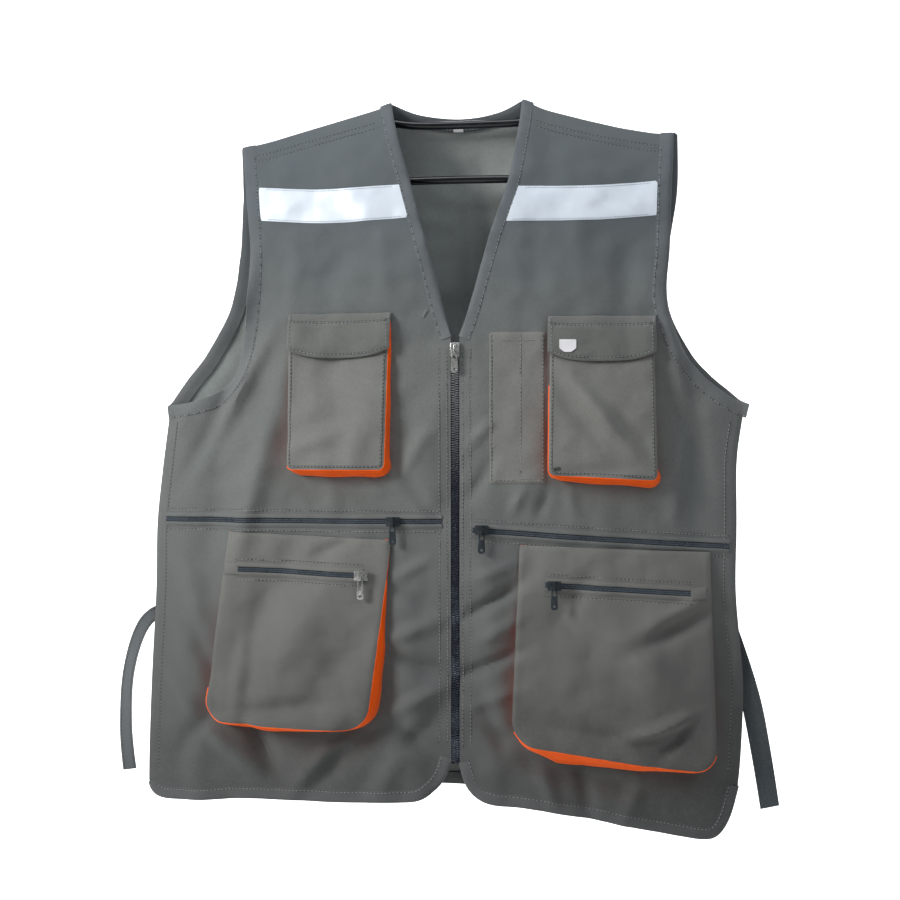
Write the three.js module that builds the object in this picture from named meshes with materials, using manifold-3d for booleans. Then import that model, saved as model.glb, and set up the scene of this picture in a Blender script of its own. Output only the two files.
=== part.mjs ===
// A sleeveless utility work vest on a plain hanger, in millimetres.
// +Z is up, the front faces -Y, and +X is to the right as one looks at the front.
// The origin is the middle of the hanger's upper bar, where the vest hangs.
import * as THREE from 'three';
import * as BufferGeometryUtils from 'three/addons/utils/BufferGeometryUtils.js';
import Module from 'manifold-3d';

const wasm = await Module();
wasm.setup();

// Driving dimensions of the garment
const HALF_WIDTH = 300; // side seam to zip, laid flat
const BODY_LENGTH = 700; // hanger bar to the level of the hem
const FRONT_DEPTH = 48; // how far the front stands ahead of the hanger
const BACK_DEPTH = 36; // how far the back stands behind the hanger
const SHOULDER_ROUND = 50; // drop over which the shoulders reach full depth
const SIDE_SHARPNESS = 2.2; // power of the lens-shaped section
const SHOULDER_RUN = 220; // zip line to shoulder tip
const SHOULDER_DROP = 42; // neck point down to shoulder tip
const NECK_POINT_HEIGHT = 22; // neck point above the hanger bar
const NECK_HALF_WIDTH = 70;
const V_DEPTH = 238; // neck point down to the top of the zip
const ARMHOLE_DROP = 281; // hanger bar down to the underarm
const BACK_NECK_DROP = 15; // dip of the back neck below the neck points

// Cloth and seams
const CLOTH = 2;
const SEAM_GAP = 0.3;
const BINDING_PROUD = 0.4; // binding stands proud of the panel
const NECK_BINDING_WIDTH = 11;
const ARMHOLE_BINDING_WIDTH = 13;
const HEM_BAND_WIDTH = 11;
const YOKE_DEPTH_AT_NECK = 22;
const YOKE_DEPTH_AT_TIP = 13;
const ROOF_SIDE_WALL = 0.8; // least wall of the yoke, before its hollow is set lower
const YOKE_TOP_WALL = 2.4; // wall at the fold over the shoulder

// Reflective strips, chest pockets and pen pocket
const STRIP_DROP = 66; // hanger bar to the strips' top edge
const STRIP_HEIGHT = 34;
const STRIP_THICKNESS = 0.8;
const CHEST_POCKET_WIDTH = 99;
const CHEST_POCKET_HEIGHT = 143;
const CHEST_POCKET_DEPTH = 19; // bellows, at the pocket's foot
const CHEST_MOUTH_DEPTH = 4;
const CHEST_POCKET_CORNER = 5;
const CHEST_POCKET_LEFT_X = -163; // outer edge of the left pocket
const CHEST_POCKET_RIGHT_X = 91; // inner edge of the right pocket
const CHEST_POCKET_LEFT_TOP = -201;
const CHEST_POCKET_RIGHT_TOP = -206;
const FLAP_OVERHANG = 2; // flap beyond the pocket's side
const FLAP_HEIGHT = 44;
const FLAP_ABOVE_POCKET = 9; // flap seam above the pocket mouth
const FLAP_THICKNESS = 2;
const FLAP_LIFT = 2; // how far the flap's foot stands off the pocket
const FLAP_CORNER_LIFT = 0.2; // share of its height that the flap loses at its corners
const PEN_POCKET_GAP = 4; // pen pocket to the chest pocket beside it
const PEN_POCKET_WIDTH = 54;
const PEN_POCKET_HEIGHT = 145;
const PEN_POCKET_TOP = -212;
const PEN_POCKET_THICKNESS = 1.6;
const BADGE_WIDTH = 16;
const BADGE_HEIGHT = 12;
const BADGE_THICKNESS = 0.8;
const BADGE_INSET = 9;
const BADGE_DROP = 23; // flap's top edge to the badge
const BADGE_SHOULDER = 0.7; // share of its height that the badge's sides run straight down
const BADGE_TOE = 0.3; // share of its width that each slanted corner takes

// Lower pockets
const LOWER_POCKET_WIDTH = 174;
const LOWER_POCKET_HEIGHT = 186;
const LOWER_POCKET_DEPTH = 28; // bellows, at the pocket's foot
const LOWER_MOUTH_DEPTH = 1.5;
const LOWER_POCKET_CORNER = 22;
const POCKET_SWELL = 1.2; // power by which a pocket deepens towards its foot
const POCKET_SIDE_EASE = 0.15; // share of its depth that a pocket loses at its sides
const LOWER_POCKET_LEFT_X = -224; // outer top corner of the left pocket
const LOWER_POCKET_RIGHT_X = 66; // inner top corner of the right pocket
const LOWER_POCKET_LEFT_TOP = -406;
const LOWER_POCKET_RIGHT_TOP = -416;
const POCKET_ZIP_DROP = 36; // pocket top to its zip
const POCKET_ZIP_LENGTH = 128;
const POCKET_SLIDER = 0.04; // share of the zip from its inner end to the slider

// Zips
const ZIP_TAPE_WIDTH = 9; // shown width of a pocket zip
const ZIP_TAPE_THICKNESS = 2; // folded edges, tape and coil together
const YOKE_ZIP_LEFT_Z = -394;
const YOKE_ZIP_LEFT_FALL = 1; // the left one falls a little towards the side
const YOKE_ZIP_RIGHT_Z = -401;
const YOKE_ZIP_RIGHT_FALL = 14;
const FRONT_OPENING_HALF = 4.2; // zip line to each front edge
const FRONT_ZIP_TOP = -222;
const FRONT_ZIP_BOTTOM = -628;
const FRONT_TAPE_WIDTH = 13;
const FRONT_TAPE_THICKNESS = 1;
const TEETH_WIDTH = 3.2;
const TEETH_THICKNESS = 2.4;
const SLIDER_WIDTH = 9;
const SLIDER_LENGTH = 13;
const SLIDER_THICKNESS = 2.6;
const BAIL_WIDTH = 2;
const BAIL_BAR = 1.2;
const BAIL_SINK = 1; // how far the bail's feet reach into the plate
const BAIL_RISE = 3.2; // clear height under the bail
const BAIL_SPAN = 6.4; // clear length under the bail
const PULLER_LENGTH = 22;
const PULLER_WIDTH = 7;
const PULLER_THICKNESS = 1.4;
const PULLER_EYE_WIDTH = 3;
const PULLER_EYE_LENGTH = 7;
const PULLER_EYE_RIM = 1.5;
const PULLER_HOLE = 2.4;
const PULLER_NECK = 0.8; // width at the eye, as a share of the foot's
const YOKE_ZIP_INNER_LEFT = 13; // zip line to the inner end of the left yoke zip
const YOKE_ZIP_INNER_RIGHT = 17;
const YOKE_ZIP_OUTER_LEFT = 300;
const YOKE_ZIP_OUTER_RIGHT = 262;
const YOKE_SLIDER_LEFT = 0.164; // share of the zip from its inner end to the slider
const YOKE_SLIDER_RIGHT = 0.037;
const TEETH_GAP = 0.6; // between the two rows of teeth

// Ties, label and hanger
const TIE_THICKNESS = 1.4;
const LEFT_TIE_WIDTH = 13;
const RIGHT_TIE_WIDTH = 19;
const LABEL_WIDTH = 10;
const LABEL_HEIGHT = 9;
const LABEL_THICKNESS = 0.6;
const LABEL_X = -3;
const LABEL_TOP = 5;
const TIE_SWING = 4; // how far a tie's end stands off the plane of its root
const HANGER_ROD = 8;
const HANGER_ROD_SIDES = 8;
const HANGER_HALF_SPAN = 194;
const HANGER_BAR_DROP = 55; // upper bar to lower bar
const HANGER_CLEARANCE = 0.75;
const HANGER_END_RADIUS = 13;
const ARM_START = 0.6; // where the arms leave the upper bar, as a share of the neck's half width
const HANGER_STEPS = 28;
const ARM_SEATS = [0.46, 0.62, 0.8, 0.95]; // places of the seats, as shares of the half span

// Ends of the hanger, in shares of their radius: outwards and down from the last seat
const HANGER_BENDS = [
  { out: 0.5, down: 0.6, ahead: 1 },
  { out: 0.3, down: 1.5, ahead: 0 },
];
const LOWER_BAR_BEND = 1.2; // run of the lower bar's bends, in end radii
const LOWER_BAR_LAP = { inward: 0.1, up: 0.2 }; // how far its ends sink into the arms, in rods
const LOWER_BAR_STEPS = 12;

// Grid of the cloth: columns across, rows from the foot of the grid to the shoulder
const COLUMNS = 20;
const ROWS = 16;
const GRID_FOOT = -730;
const SHOULDER_ROW = 16; // height of the top row of cells
const REACH = 400; // prisms and trims reach this far past the cloth
const BAND_SPARE = 4;
const GRID_PASSES = 4; // rounds that settle a grid point's place
const EDGE_EASE = 5; // folds fade out over one part in this many of the half width
const YOKE_ROWS = 3; // rows of cells under a yoke
const POCKET_CELLS = 5;
const POCKET_SIDE_STEPS = 3;
const POCKET_FOOT_STEPS = 4;
const NECK_STEPS = 7;
const BACK_NECK_STEPS = 8;
const ARMHOLE_STEPS = 13;
const HEM_STEPS = 15;
const PULLER_CURVE_STEPS = 4;
const CORNER_STEPS = 3;
const FLAP_COLUMNS = 6;
const FLAP_ROWS = 4;
const TIE_STEPS = 10;
const YOKE_STEPS = 6;
const YOKE_START = 0.4; // yokes start this share of the neck's half width out
const YOKE_END = 1.2; // and end this share of the shoulder run out
const BACK_NECK_BEND = { out: 0.6, rise: 0.3 }; // bend of the back neck, as shares of its half width and dip
const BACK_HEM_START = 0.13; // the back's hem starts this share of HALF_WIDTH out

// Half widths of the body, as shares of HALF_WIDTH at shares of BODY_LENGTH below the bar
const SECTIONS = [
  { drop: 0.0, left: 0.917, right: 0.873, depth: 1.0 },
  { drop: 0.17, left: 0.953, right: 0.907, depth: 1.0 },
  { drop: 0.4, left: 0.99, right: 0.935, depth: 1.0 },
  { drop: 0.47, left: 1.013, right: 0.903, depth: 0.99 },
  { drop: 0.57, left: 1.04, right: 0.907, depth: 0.97 },
  { drop: 0.66, left: 1.04, right: 0.9, depth: 0.95 },
  { drop: 0.79, left: 1.057, right: 0.93, depth: 0.93 },
  { drop: 0.91, left: 1.067, right: 0.917, depth: 0.92 },
  { drop: 1.05, left: 1.067, right: 0.873, depth: 0.92 },
];

// Shoulder line: shares of SHOULDER_RUN outwards and of SHOULDER_DROP down
const SHOULDER_LINE = [
  { run: 0.0, left: 0.0, right: 0.0 },
  { run: 0.3, left: 0.0, right: 0.03 },
  { run: 0.38, left: 0.14, right: 0.24 },
  { run: 0.57, left: 0.41, right: 0.52 },
  { run: 0.72, left: 0.62, right: 0.72 },
  { run: 0.88, left: 0.85, right: 0.88 },
  { run: 1.0, left: 0.98, right: 0.88 },
  { run: 1.5, left: 1.25, right: 1.1 },
];

// V neck edge: shares of V_DEPTH down and of NECK_HALF_WIDTH outwards
const V_EDGE = [
  { drop: 0.0, left: 1.0, right: 0.9 },
  { drop: 0.14, left: 0.88, right: 0.86 },
  { drop: 0.37, left: 0.65, right: 0.73 },
  { drop: 0.57, left: 0.46, right: 0.5 },
  { drop: 0.78, left: 0.27, right: 0.3 },
  { drop: 0.93, left: 0.14, right: 0.15 },
];

// Top edge of the reflective strips: shares of HALF_WIDTH outwards and of STRIP_DROP down
const STRIP_LINE = [
  { out: 0.05, left: 0.96, right: 1.07 },
  { out: 0.24, left: 1.02, right: 1.07 },
  { out: 0.46, left: 1.03, right: 1.05 },
  { out: 0.76, left: 0.9, right: 0.9 },
];

// Armhole edges: shares of ARMHOLE_DROP down and of HALF_WIDTH outwards
const ARMHOLE_EDGES = [
  { drop: 0.0, frontLeft: 0.735, frontRight: 0.7, backLeft: 0.74, backRight: 0.712 },
  { drop: 0.2, frontLeft: 0.71, frontRight: 0.69, backLeft: 0.745, backRight: 0.713 },
  { drop: 0.42, frontLeft: 0.69, frontRight: 0.683, backLeft: 0.757, backRight: 0.687 },
  { drop: 0.63, frontLeft: 0.7, frontRight: 0.673, backLeft: 0.797, backRight: 0.687 },
  { drop: 0.8, frontLeft: 0.72, frontRight: 0.725, backLeft: 0.873, backRight: 0.755 },
  { drop: 0.89, frontLeft: 0.75, frontRight: 0.785, backLeft: 0.93, backRight: 0.82 },
  { drop: 0.95, frontLeft: 0.81, frontRight: 0.85, backLeft: 0.965, backRight: 0.88 },
  { drop: 0.985, frontLeft: 0.9, frontRight: 0.9, backLeft: 0.985, backRight: 0.915 },
  { drop: 1.0, frontLeft: 1.0, frontRight: 0.945, backLeft: 1.0, backRight: 0.945 },
];

// Hem: shares of HALF_WIDTH outwards and of BODY_LENGTH down, front corners first
const HEM_LINE = [
  { out: 0.014, left: 0.89, right: 0.895 },
  { out: 0.035, left: 0.915, right: 0.926 },
  { out: 0.07, left: 0.934, right: 0.943 },
  { out: 0.13, left: 0.949, right: 0.952 },
  { out: 0.25, left: 0.953, right: 0.956 },
  { out: 0.4, left: 0.955, right: 0.967 },
  { out: 0.55, left: 0.956, right: 0.981 },
  { out: 0.7, left: 0.958, right: 0.995 },
  { out: 0.8, left: 0.962, right: 1.003 },
];
const LEFT_HEM_END = [
  { out: 0.95, drop: 0.968 },
  { out: 1.02, drop: 0.968 },
  { out: 1.058, drop: 0.957 },
  { out: 1.075, drop: 0.93 },
];
const RIGHT_HEM_END = [
  { out: 0.845, drop: 0.998 },
  { out: 0.88, drop: 0.976 },
  { out: 0.905, drop: 0.94 },
  { out: 0.92, drop: 0.91 },
];

// Soft folds: place as shares of HALF_WIDTH and BODY_LENGTH, height as a share of FRONT_DEPTH.
// Slant is the sideways run for each unit of drop.
const FOLDS = [
  { face: 'front', out: -0.66, drop: 0.5, slant: -0.28, width: 0.045, length: 0.16, height: 0.2 },
  { face: 'front', out: -0.8, drop: 0.47, slant: -0.1, width: 0.07, length: 0.12, height: -0.12 },
  { face: 'front', out: 0.77, drop: 0.52, slant: 0.12, width: 0.05, length: 0.14, height: -0.14 },
  { face: 'front', out: -0.14, drop: 0.8, slant: 0.05, width: 0.05, length: 0.2, height: 0.08 },
  { face: 'front', out: 0.12, drop: 0.78, slant: 0.04, width: 0.05, length: 0.2, height: 0.09 },
  { face: 'front', out: -0.9, drop: 0.82, slant: 0.08, width: 0.06, length: 0.22, height: 0.14 },
  { face: 'front', out: 0.86, drop: 0.85, slant: -0.04, width: 0.05, length: 0.2, height: 0.16 },
  { face: 'back', out: 0.06, drop: 0.3, slant: 0.05, width: 0.06, length: 0.3, height: 0.1 },
  { face: 'back', out: -0.4, drop: 0.75, slant: 0.06, width: 0.09, length: 0.3, height: 0.14 },
  { face: 'back', out: 0.42, drop: 0.8, slant: -0.06, width: 0.09, length: 0.3, height: 0.14 },
];

// Left tie hangs outside the left side, right tie beside the right one: shares of
// HALF_WIDTH outwards and of BODY_LENGTH down, along each tie's middle
const LEFT_TIE_PATH = [
  { out: 0.96, drop: 0.69 },
  { out: 1.06, drop: 0.706 },
  { out: 1.115, drop: 0.74 },
  { out: 1.15, drop: 0.8 },
  { out: 1.158, drop: 0.87 },
  { out: 1.145, drop: 0.935 },
];
const RIGHT_TIE_PATH = [
  { out: 0.84, drop: 0.67 },
  { out: 0.9, drop: 0.74 },
  { out: 0.95, drop: 0.81 },
  { out: 0.985, drop: 0.885 },
  { out: 1.015, drop: 0.965 },
];

const FABRIC = { color: 0x6b7170, roughness: 0.85, metalness: 0 };
const BINDING = { color: 0x5f6566, roughness: 0.85, metalness: 0 };
const ORANGE = { color: 0xff5a0a, roughness: 0.7, metalness: 0 };
const SILVER_TAPE = { color: 0xd6e2ee, roughness: 0.45, metalness: 0.1 };
const ZIP_TAPE = { color: 0x33393b, roughness: 0.8, metalness: 0 };
const DARK_METAL = { color: 0x3a4044, roughness: 0.4, metalness: 0.8 };
const BRIGHT_METAL = { color: 0x9aa0a4, roughness: 0.3, metalness: 0.9 };
const HANGER_BLACK = { color: 0x101416, roughness: 0.2, metalness: 0 };
const WHITE_PATCH = { color: 0xe8ebec, roughness: 0.7, metalness: 0 };

const vest = new THREE.Group();

// Linear reading of a table: the row's `key` at `place` along `axis`
function readTable(table, axis, key, place) {
  const next = table.findIndex((row) => row[axis] >= place);
  if (next === 0) return table[0][key];
  if (next < 0) return table[table.length - 1][key];
  const low = table[next - 1];
  const high = table[next];
  const share = (place - low[axis]) / (high[axis] - low[axis]);
  return low[key] + share * (high[key] - low[key]);
}

// Height of the shoulder ridge over a place across the vest
function ridgeHeight(x) {
  const side = x < 0 ? 'left' : 'right';
  const fall = readTable(SHOULDER_LINE, 'run', side, Math.abs(x) / SHOULDER_RUN);
  return NECK_POINT_HEIGHT - SHOULDER_DROP * fall;
}

function halfWidth(x, z) {
  return HALF_WIDTH * readTable(SECTIONS, 'drop', x < 0 ? 'left' : 'right', -z / BODY_LENGTH);
}

function foldHeight(face, x, z) {
  let height = 0;
  for (const fold of FOLDS) {
    if (fold.face !== face) continue;
    const along = (-z / BODY_LENGTH - fold.drop) / fold.length;
    const middle = fold.out + fold.slant * (-z / BODY_LENGTH - fold.drop) / (HALF_WIDTH / BODY_LENGTH);
    const across = (x / HALF_WIDTH - middle) / fold.width;
    height += FRONT_DEPTH * fold.height * Math.exp(-along * along - across * across);
  }
  return height;
}

// Distance of the cloth's inner face from the plane of the hanger
function clothDepth(face, x, z) {
  const share = Math.min(1, Math.abs(x) / halfWidth(x, z));
  const crown = 1 - share ** SIDE_SHARPNESS;
  const drop = Math.max(0, ridgeHeight(x) - z);
  const rise = 1 - Math.exp(-drop / SHOULDER_ROUND);
  const depth = face === 'front' ? FRONT_DEPTH : BACK_DEPTH;
  const full = depth * readTable(SECTIONS, 'drop', 'depth', -z / BODY_LENGTH);
  const edge = Math.min(1, EDGE_EASE * (1 - share)) * Math.min(1, drop / SHOULDER_ROUND);
  return Math.max(0, full * crown * rise + edge * foldHeight(face, x, z));
}

// The shared grid keeps columns on the side seams and the top row on the shoulders
function gridPlace(column, row) {
  const across = 2 * column / COLUMNS - 1;
  let z = GRID_FOOT * (1 - row / ROWS);
  let x = 0;
  for (let pass = 0; pass < GRID_PASSES; pass += 1) {
    x = across * halfWidth(across, z);
    const top = ridgeHeight(x);
    z = row === ROWS ? top : GRID_FOOT + (top - SHOULDER_ROW - GRID_FOOT) * row / (ROWS - 1);
  }
  return { x, z };
}

function merged(geometry) {
  const plain = geometry.clone();
  plain.deleteAttribute('normal');
  plain.deleteAttribute('uv');
  return BufferGeometryUtils.mergeVertices(plain, 1e-4);
}

function toSolid(geometry) {
  const plain = merged(geometry);
  return new wasm.Manifold(new wasm.Mesh({
    numProp: 3,
    vertProperties: new Float32Array(plain.attributes.position.array),
    triVerts: new Uint32Array(plain.index.array),
  }));
}

function moved(geometry, x, y, z) {
  geometry.translate(x, y, z);
  return toSolid(geometry);
}

function toGeometry(solid) {
  const mesh = solid.getMesh();
  const geometry = new THREE.BufferGeometry();
  geometry.setAttribute('position', new THREE.BufferAttribute(mesh.vertProperties, mesh.numProp));
  geometry.setIndex(new THREE.BufferAttribute(mesh.triVerts, 1));
  return geometry;
}

function add(name, solid, finish) {
  const geometry = toGeometry(solid);
  geometry.computeVertexNormals();
  const mesh = new THREE.Mesh(geometry, new THREE.MeshStandardMaterial(finish));
  mesh.name = name;
  vest.add(mesh);
}

// Closed body between two skins of (columns + 1) x (rows + 1) points.
// front(column, row) and rear(column, row) give each skin's points.
function skinBody(columns, rows, front, rear) {
  const positions = [];
  const faces = [];
  const stride = rows + 1;
  const layer = (columns + 1) * stride;
  for (const skin of [front, rear]) {
    for (let column = 0; column <= columns; column += 1) {
      for (let row = 0; row <= rows; row += 1) {
        const point = skin(column, row);
        positions.push(point.x, point.y, point.z);
      }
    }
  }
  const quad = (a, b, c, d) => faces.push(a, b, c, a, c, d);
  for (let column = 0; column < columns; column += 1) {
    for (let row = 0; row < rows; row += 1) {
      const a = column * stride + row;
      const b = a + stride;
      quad(a, b, b + 1, a + 1);
      faces.push(layer + a, layer + b + 1, layer + b, layer + a, layer + a + 1, layer + b + 1);
    }
  }
  for (let column = 0; column < columns; column += 1) {
    const foot = column * stride;
    const top = foot + rows;
    quad(foot + stride, foot, layer + foot, layer + foot + stride);
    quad(top, top + stride, layer + top + stride, layer + top);
  }
  for (let row = 0; row < rows; row += 1) {
    const left = row;
    const right = columns * stride + row;
    quad(left, left + 1, layer + left + 1, layer + left);
    quad(right + 1, right, layer + right, layer + right + 1);
  }
  const geometry = new THREE.BufferGeometry();
  geometry.setAttribute('position', new THREE.Float32BufferAttribute(positions, 3));
  geometry.setIndex(faces);
  return toSolid(geometry);
}

// Signed y of a point that stands `offset` outside the cloth's inner face
function clothY(face, x, z, offset) {
  return (face === 'front' ? -1 : 1) * (clothDepth(face, x, z) + offset);
}

// Slab of the shared grid between two offsets, over a range of columns and rows
function clothSlab(face, inner, outer, range = { left: 0, right: COLUMNS, foot: 0, top: ROWS }) {
  const skin = (offset) => (column, row) => {
    const { x, z } = gridPlace(range.left + column, range.foot + row);
    return new THREE.Vector3(x, clothY(face, x, z, offset), z);
  };
  const ahead = face === 'front' ? outer : inner;
  const behind = face === 'front' ? inner : outer;
  return skinBody(range.right - range.left, range.top - range.foot, skin(ahead), skin(behind));
}

// Upright prism over an outline in the plane of the hanger
function prism(points, from = -REACH, to = REACH) {
  const outline = new THREE.Shape(points.map((point) => new THREE.Vector2(point.x, point.z)));
  const geometry = new THREE.ExtrudeGeometry(outline, { depth: to - from, bevelEnabled: false });
  geometry.rotateX(Math.PI / 2);
  geometry.translate(0, to, 0);
  return toSolid(geometry);
}

function spline(points, count) {
  const curve = new THREE.SplineCurve(points.map((point) => new THREE.Vector2(point.x, point.z)));
  return curve.getPoints(count).map((point) => ({ x: point.x, z: point.y }));
}

// Copy of a line of points moved sideways, to the left of its run when distance is positive
function sideways(points, distance) {
  return points.map((point, index) => {
    const before = points[Math.max(0, index - 1)];
    const after = points[Math.min(points.length - 1, index + 1)];
    const run = new THREE.Vector2(after.x - before.x, after.z - before.z).normalize();
    return { x: point.x - run.y * distance, z: point.z + run.x * distance };
  });
}

// Prism over a band on one side of a line; it also covers a little of the other side
function bandPrism(line, inside) {
  const outer = sideways(line, -Math.sign(inside) * BAND_SPARE);
  return prism([...sideways(line, inside), ...outer.reverse()]);
}

// Outlines of the garment, each side in turn
const SIDES = [{ name: 'left', sign: -1 }, { name: 'right', sign: 1 }];

function neckEdge(side) {
  const rows = V_EDGE.map((row) => ({
    x: side.sign * NECK_HALF_WIDTH * row[side.name],
    z: NECK_POINT_HEIGHT - V_DEPTH * row.drop,
  }));
  const foot = { x: side.sign * FRONT_OPENING_HALF, z: NECK_POINT_HEIGHT - V_DEPTH };
  return spline([...rows, foot], NECK_STEPS);
}

function armholeEdge(side, face) {
  const column = face + (side.name === 'left' ? 'Left' : 'Right');
  const tip = ARMHOLE_EDGES[0][column] * HALF_WIDTH;
  const start = ridgeHeight(side.sign * tip);
  const points = ARMHOLE_EDGES.map((row) => ({
    x: side.sign * HALF_WIDTH * row[column],
    z: start + (-ARMHOLE_DROP - start) * row.drop,
  }));
  return spline(points, ARMHOLE_STEPS);
}

function hemEdge(side) {
  const front = HEM_LINE.map((row) => ({
    x: side.sign * HALF_WIDTH * row.out,
    z: -BODY_LENGTH * row[side.name],
  }));
  const end = (side.name === 'left' ? LEFT_HEM_END : RIGHT_HEM_END).map((row) => ({
    x: side.sign * HALF_WIDTH * row.out,
    z: -BODY_LENGTH * row.drop,
  }));
  return spline([...front, ...end], HEM_STEPS);
}

function backNeckEdge() {
  const left = NECK_HALF_WIDTH * V_EDGE[0].left;
  const right = NECK_HALF_WIDTH * V_EDGE[0].right;
  const low = NECK_POINT_HEIGHT - BACK_NECK_DROP;
  const bend = low + BACK_NECK_DROP * BACK_NECK_BEND.rise;
  return spline([
    { x: -left, z: NECK_POINT_HEIGHT },
    { x: -left * BACK_NECK_BEND.out, z: bend },
    { x: 0, z: low },
    { x: right * BACK_NECK_BEND.out, z: bend },
    { x: right, z: NECK_POINT_HEIGHT },
  ], BACK_NECK_STEPS);
}

const first = (points) => points[0];
const last = (points) => points[points.length - 1];
const above = (point) => ({ x: point.x, z: point.z + REACH });
const beyond = (point, side) => ({ x: point.x + side.sign * REACH, z: point.z });
const below = (point) => ({ x: point.x, z: point.z - REACH });

// Prisms of the front halves and the back, and of the bands along their edges
function frontOutline(side) {
  const neck = neckEdge(side);
  const hem = hemEdge(side);
  const arm = armholeEdge(side, 'front');
  const outward = [beyond(last(hem), side), beyond(last(arm), side)];
  const upArm = arm.slice().reverse();
  return prism([above(first(neck)), ...neck, ...hem, ...outward, ...upArm, above(first(arm))]);
}

function backOutline() {
  const [leftHem, rightHem] = SIDES.map(hemEdge);
  const [leftArm, rightArm] = SIDES.map((side) => armholeEdge(side, 'back'));
  const [left, right] = SIDES;
  const foot = [...backHem(leftHem).reverse(), ...backHem(rightHem)];
  return prism([
    beyond(first(foot), left), ...foot, beyond(last(foot), right),
    beyond(last(rightArm), right), ...rightArm.slice().reverse(), above(first(rightArm)),
    above(last(backNeckEdge())), ...backNeckEdge().reverse(), above(first(backNeckEdge())),
    above(first(leftArm)), ...leftArm, beyond(last(leftArm), left),
  ]);
}

// The back's hem follows the front's, without the rounded corners at the zip
function backHem(hem) {
  return hem.filter((point) => Math.abs(point.x) > HALF_WIDTH * BACK_HEM_START);
}

function neckBand(side, width) {
  const neck = neckEdge(side);
  return bandPrism([above(first(neck)), ...neck], side.sign * width);
}

function armholeBand(side, face, width) {
  const arm = armholeEdge(side, face);
  return bandPrism([above(first(arm)), ...arm, beyond(last(arm), side)], -side.sign * width);
}

function frontHemBand(side, width) {
  const hem = hemEdge(side);
  return bandPrism([...hem, beyond(last(hem), side)], side.sign * width);
}

function backHemBand(width) {
  const [leftHem, rightHem] = SIDES.map(hemEdge);
  const foot = [...backHem(leftHem).reverse(), ...backHem(rightHem)];
  return bandPrism([beyond(first(foot), SIDES[0]), ...foot, beyond(last(foot), SIDES[1])], width);
}

function backNeckBand(width) {
  const edge = backNeckEdge();
  return bandPrism([above(first(edge)), ...edge, above(last(edge))], -width);
}

// Region of the cloth over each shoulder, from the ridge to the seam of the yoke
function yokeRegion(side, spare) {
  const neckX = NECK_HALF_WIDTH * YOKE_START;
  const tipX = SHOULDER_RUN * YOKE_END;
  const line = [];
  for (let step = 0; step <= YOKE_STEPS; step += 1) {
    const share = step / YOKE_STEPS;
    const x = side.sign * (neckX + (tipX - neckX) * share);
    const depth = YOKE_DEPTH_AT_NECK + (YOKE_DEPTH_AT_TIP - YOKE_DEPTH_AT_NECK) * share;
    line.push({ x, z: ridgeHeight(x) - depth - spare });
  }
  return prism([above(first(line)), ...line, above(last(line))]);
}

// Slabs of the cloth that the pieces are cut from
const inner = SEAM_GAP / 2;
const frontCloth = clothSlab('front', inner, inner + CLOTH);
const backCloth = clothSlab('back', inner, inner + CLOTH);
const frontBound = clothSlab('front', inner, inner + CLOTH + BINDING_PROUD);
const backBound = clothSlab('back', inner, inner + CLOTH + BINDING_PROUD);

// Everything behind the front's outer face and its seam gap, for pieces that lie on it
const frontKeepOut = clothSlab('front', -REACH, inner + CLOTH + SEAM_GAP);

function cutAway(solid, ...cutters) {
  return cutters.reduce((left, cutter) => left.subtract(cutter), solid);
}

// Front halves with their bindings and hem bands
const panelPrisms = {};
for (const side of SIDES) {
  const outline = frontOutline(side);
  const panel = cutAway(
    outline,
    neckBand(side, NECK_BINDING_WIDTH + SEAM_GAP),
    armholeBand(side, 'front', ARMHOLE_BINDING_WIDTH + SEAM_GAP),
    frontHemBand(side, HEM_BAND_WIDTH + SEAM_GAP),
    yokeRegion(side, SEAM_GAP),
  );
  panelPrisms[side.name] = panel;
  add(`front_panel_${side.name}`, frontCloth.intersect(panel), FABRIC);
  const edged = frontBound.intersect(outline);
  const neck = edged.intersect(neckBand(side, NECK_BINDING_WIDTH));
  add(`neck_binding_${side.name}`, neck, BINDING);
  const arm = edged.intersect(armholeBand(side, 'front', ARMHOLE_BINDING_WIDTH));
  add(`armhole_binding_front_${side.name}`, arm, BINDING);
  const hem = edged.intersect(frontHemBand(side, HEM_BAND_WIDTH));
  add(`hem_band_front_${side.name}`, hem, BINDING);
}

// Everything on one side of the back's middle seam
function sideSpace(side) {
  const middle = side.sign * (REACH + SEAM_GAP / 2);
  return moved(new THREE.BoxGeometry(2 * REACH, 4 * REACH, 4 * REACH), middle, 0, 0);
}

// Back in two halves, with its bindings and hem band
const backShape = backOutline();
const backPanel = cutAway(
  backShape,
  backNeckBand(NECK_BINDING_WIDTH + SEAM_GAP),
  backHemBand(HEM_BAND_WIDTH + SEAM_GAP),
  ...SIDES.map((side) => armholeBand(side, 'back', ARMHOLE_BINDING_WIDTH + SEAM_GAP)),
  ...SIDES.map((side) => yokeRegion(side, SEAM_GAP)),
);
for (const side of SIDES) {
  add(`back_panel_${side.name}`, backCloth.intersect(backPanel).intersect(sideSpace(side)), FABRIC);
}
const backEdged = backBound.intersect(backShape);
add('back_neck_binding', backEdged.intersect(backNeckBand(NECK_BINDING_WIDTH)), BINDING);
add('hem_band_back', backEdged.intersect(backHemBand(HEM_BAND_WIDTH)), BINDING);
for (const side of SIDES) {
  const arm = backEdged.intersect(armholeBand(side, 'back', ARMHOLE_BINDING_WIDTH));
  add(`armhole_binding_back_${side.name}`, arm, BINDING);
}

// Roof over each shoulder: both outer faces joined at the ridge, over a hollow set lower
const shoulderRows = { left: 0, right: COLUMNS, foot: ROWS - YOKE_ROWS, top: ROWS };

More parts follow.
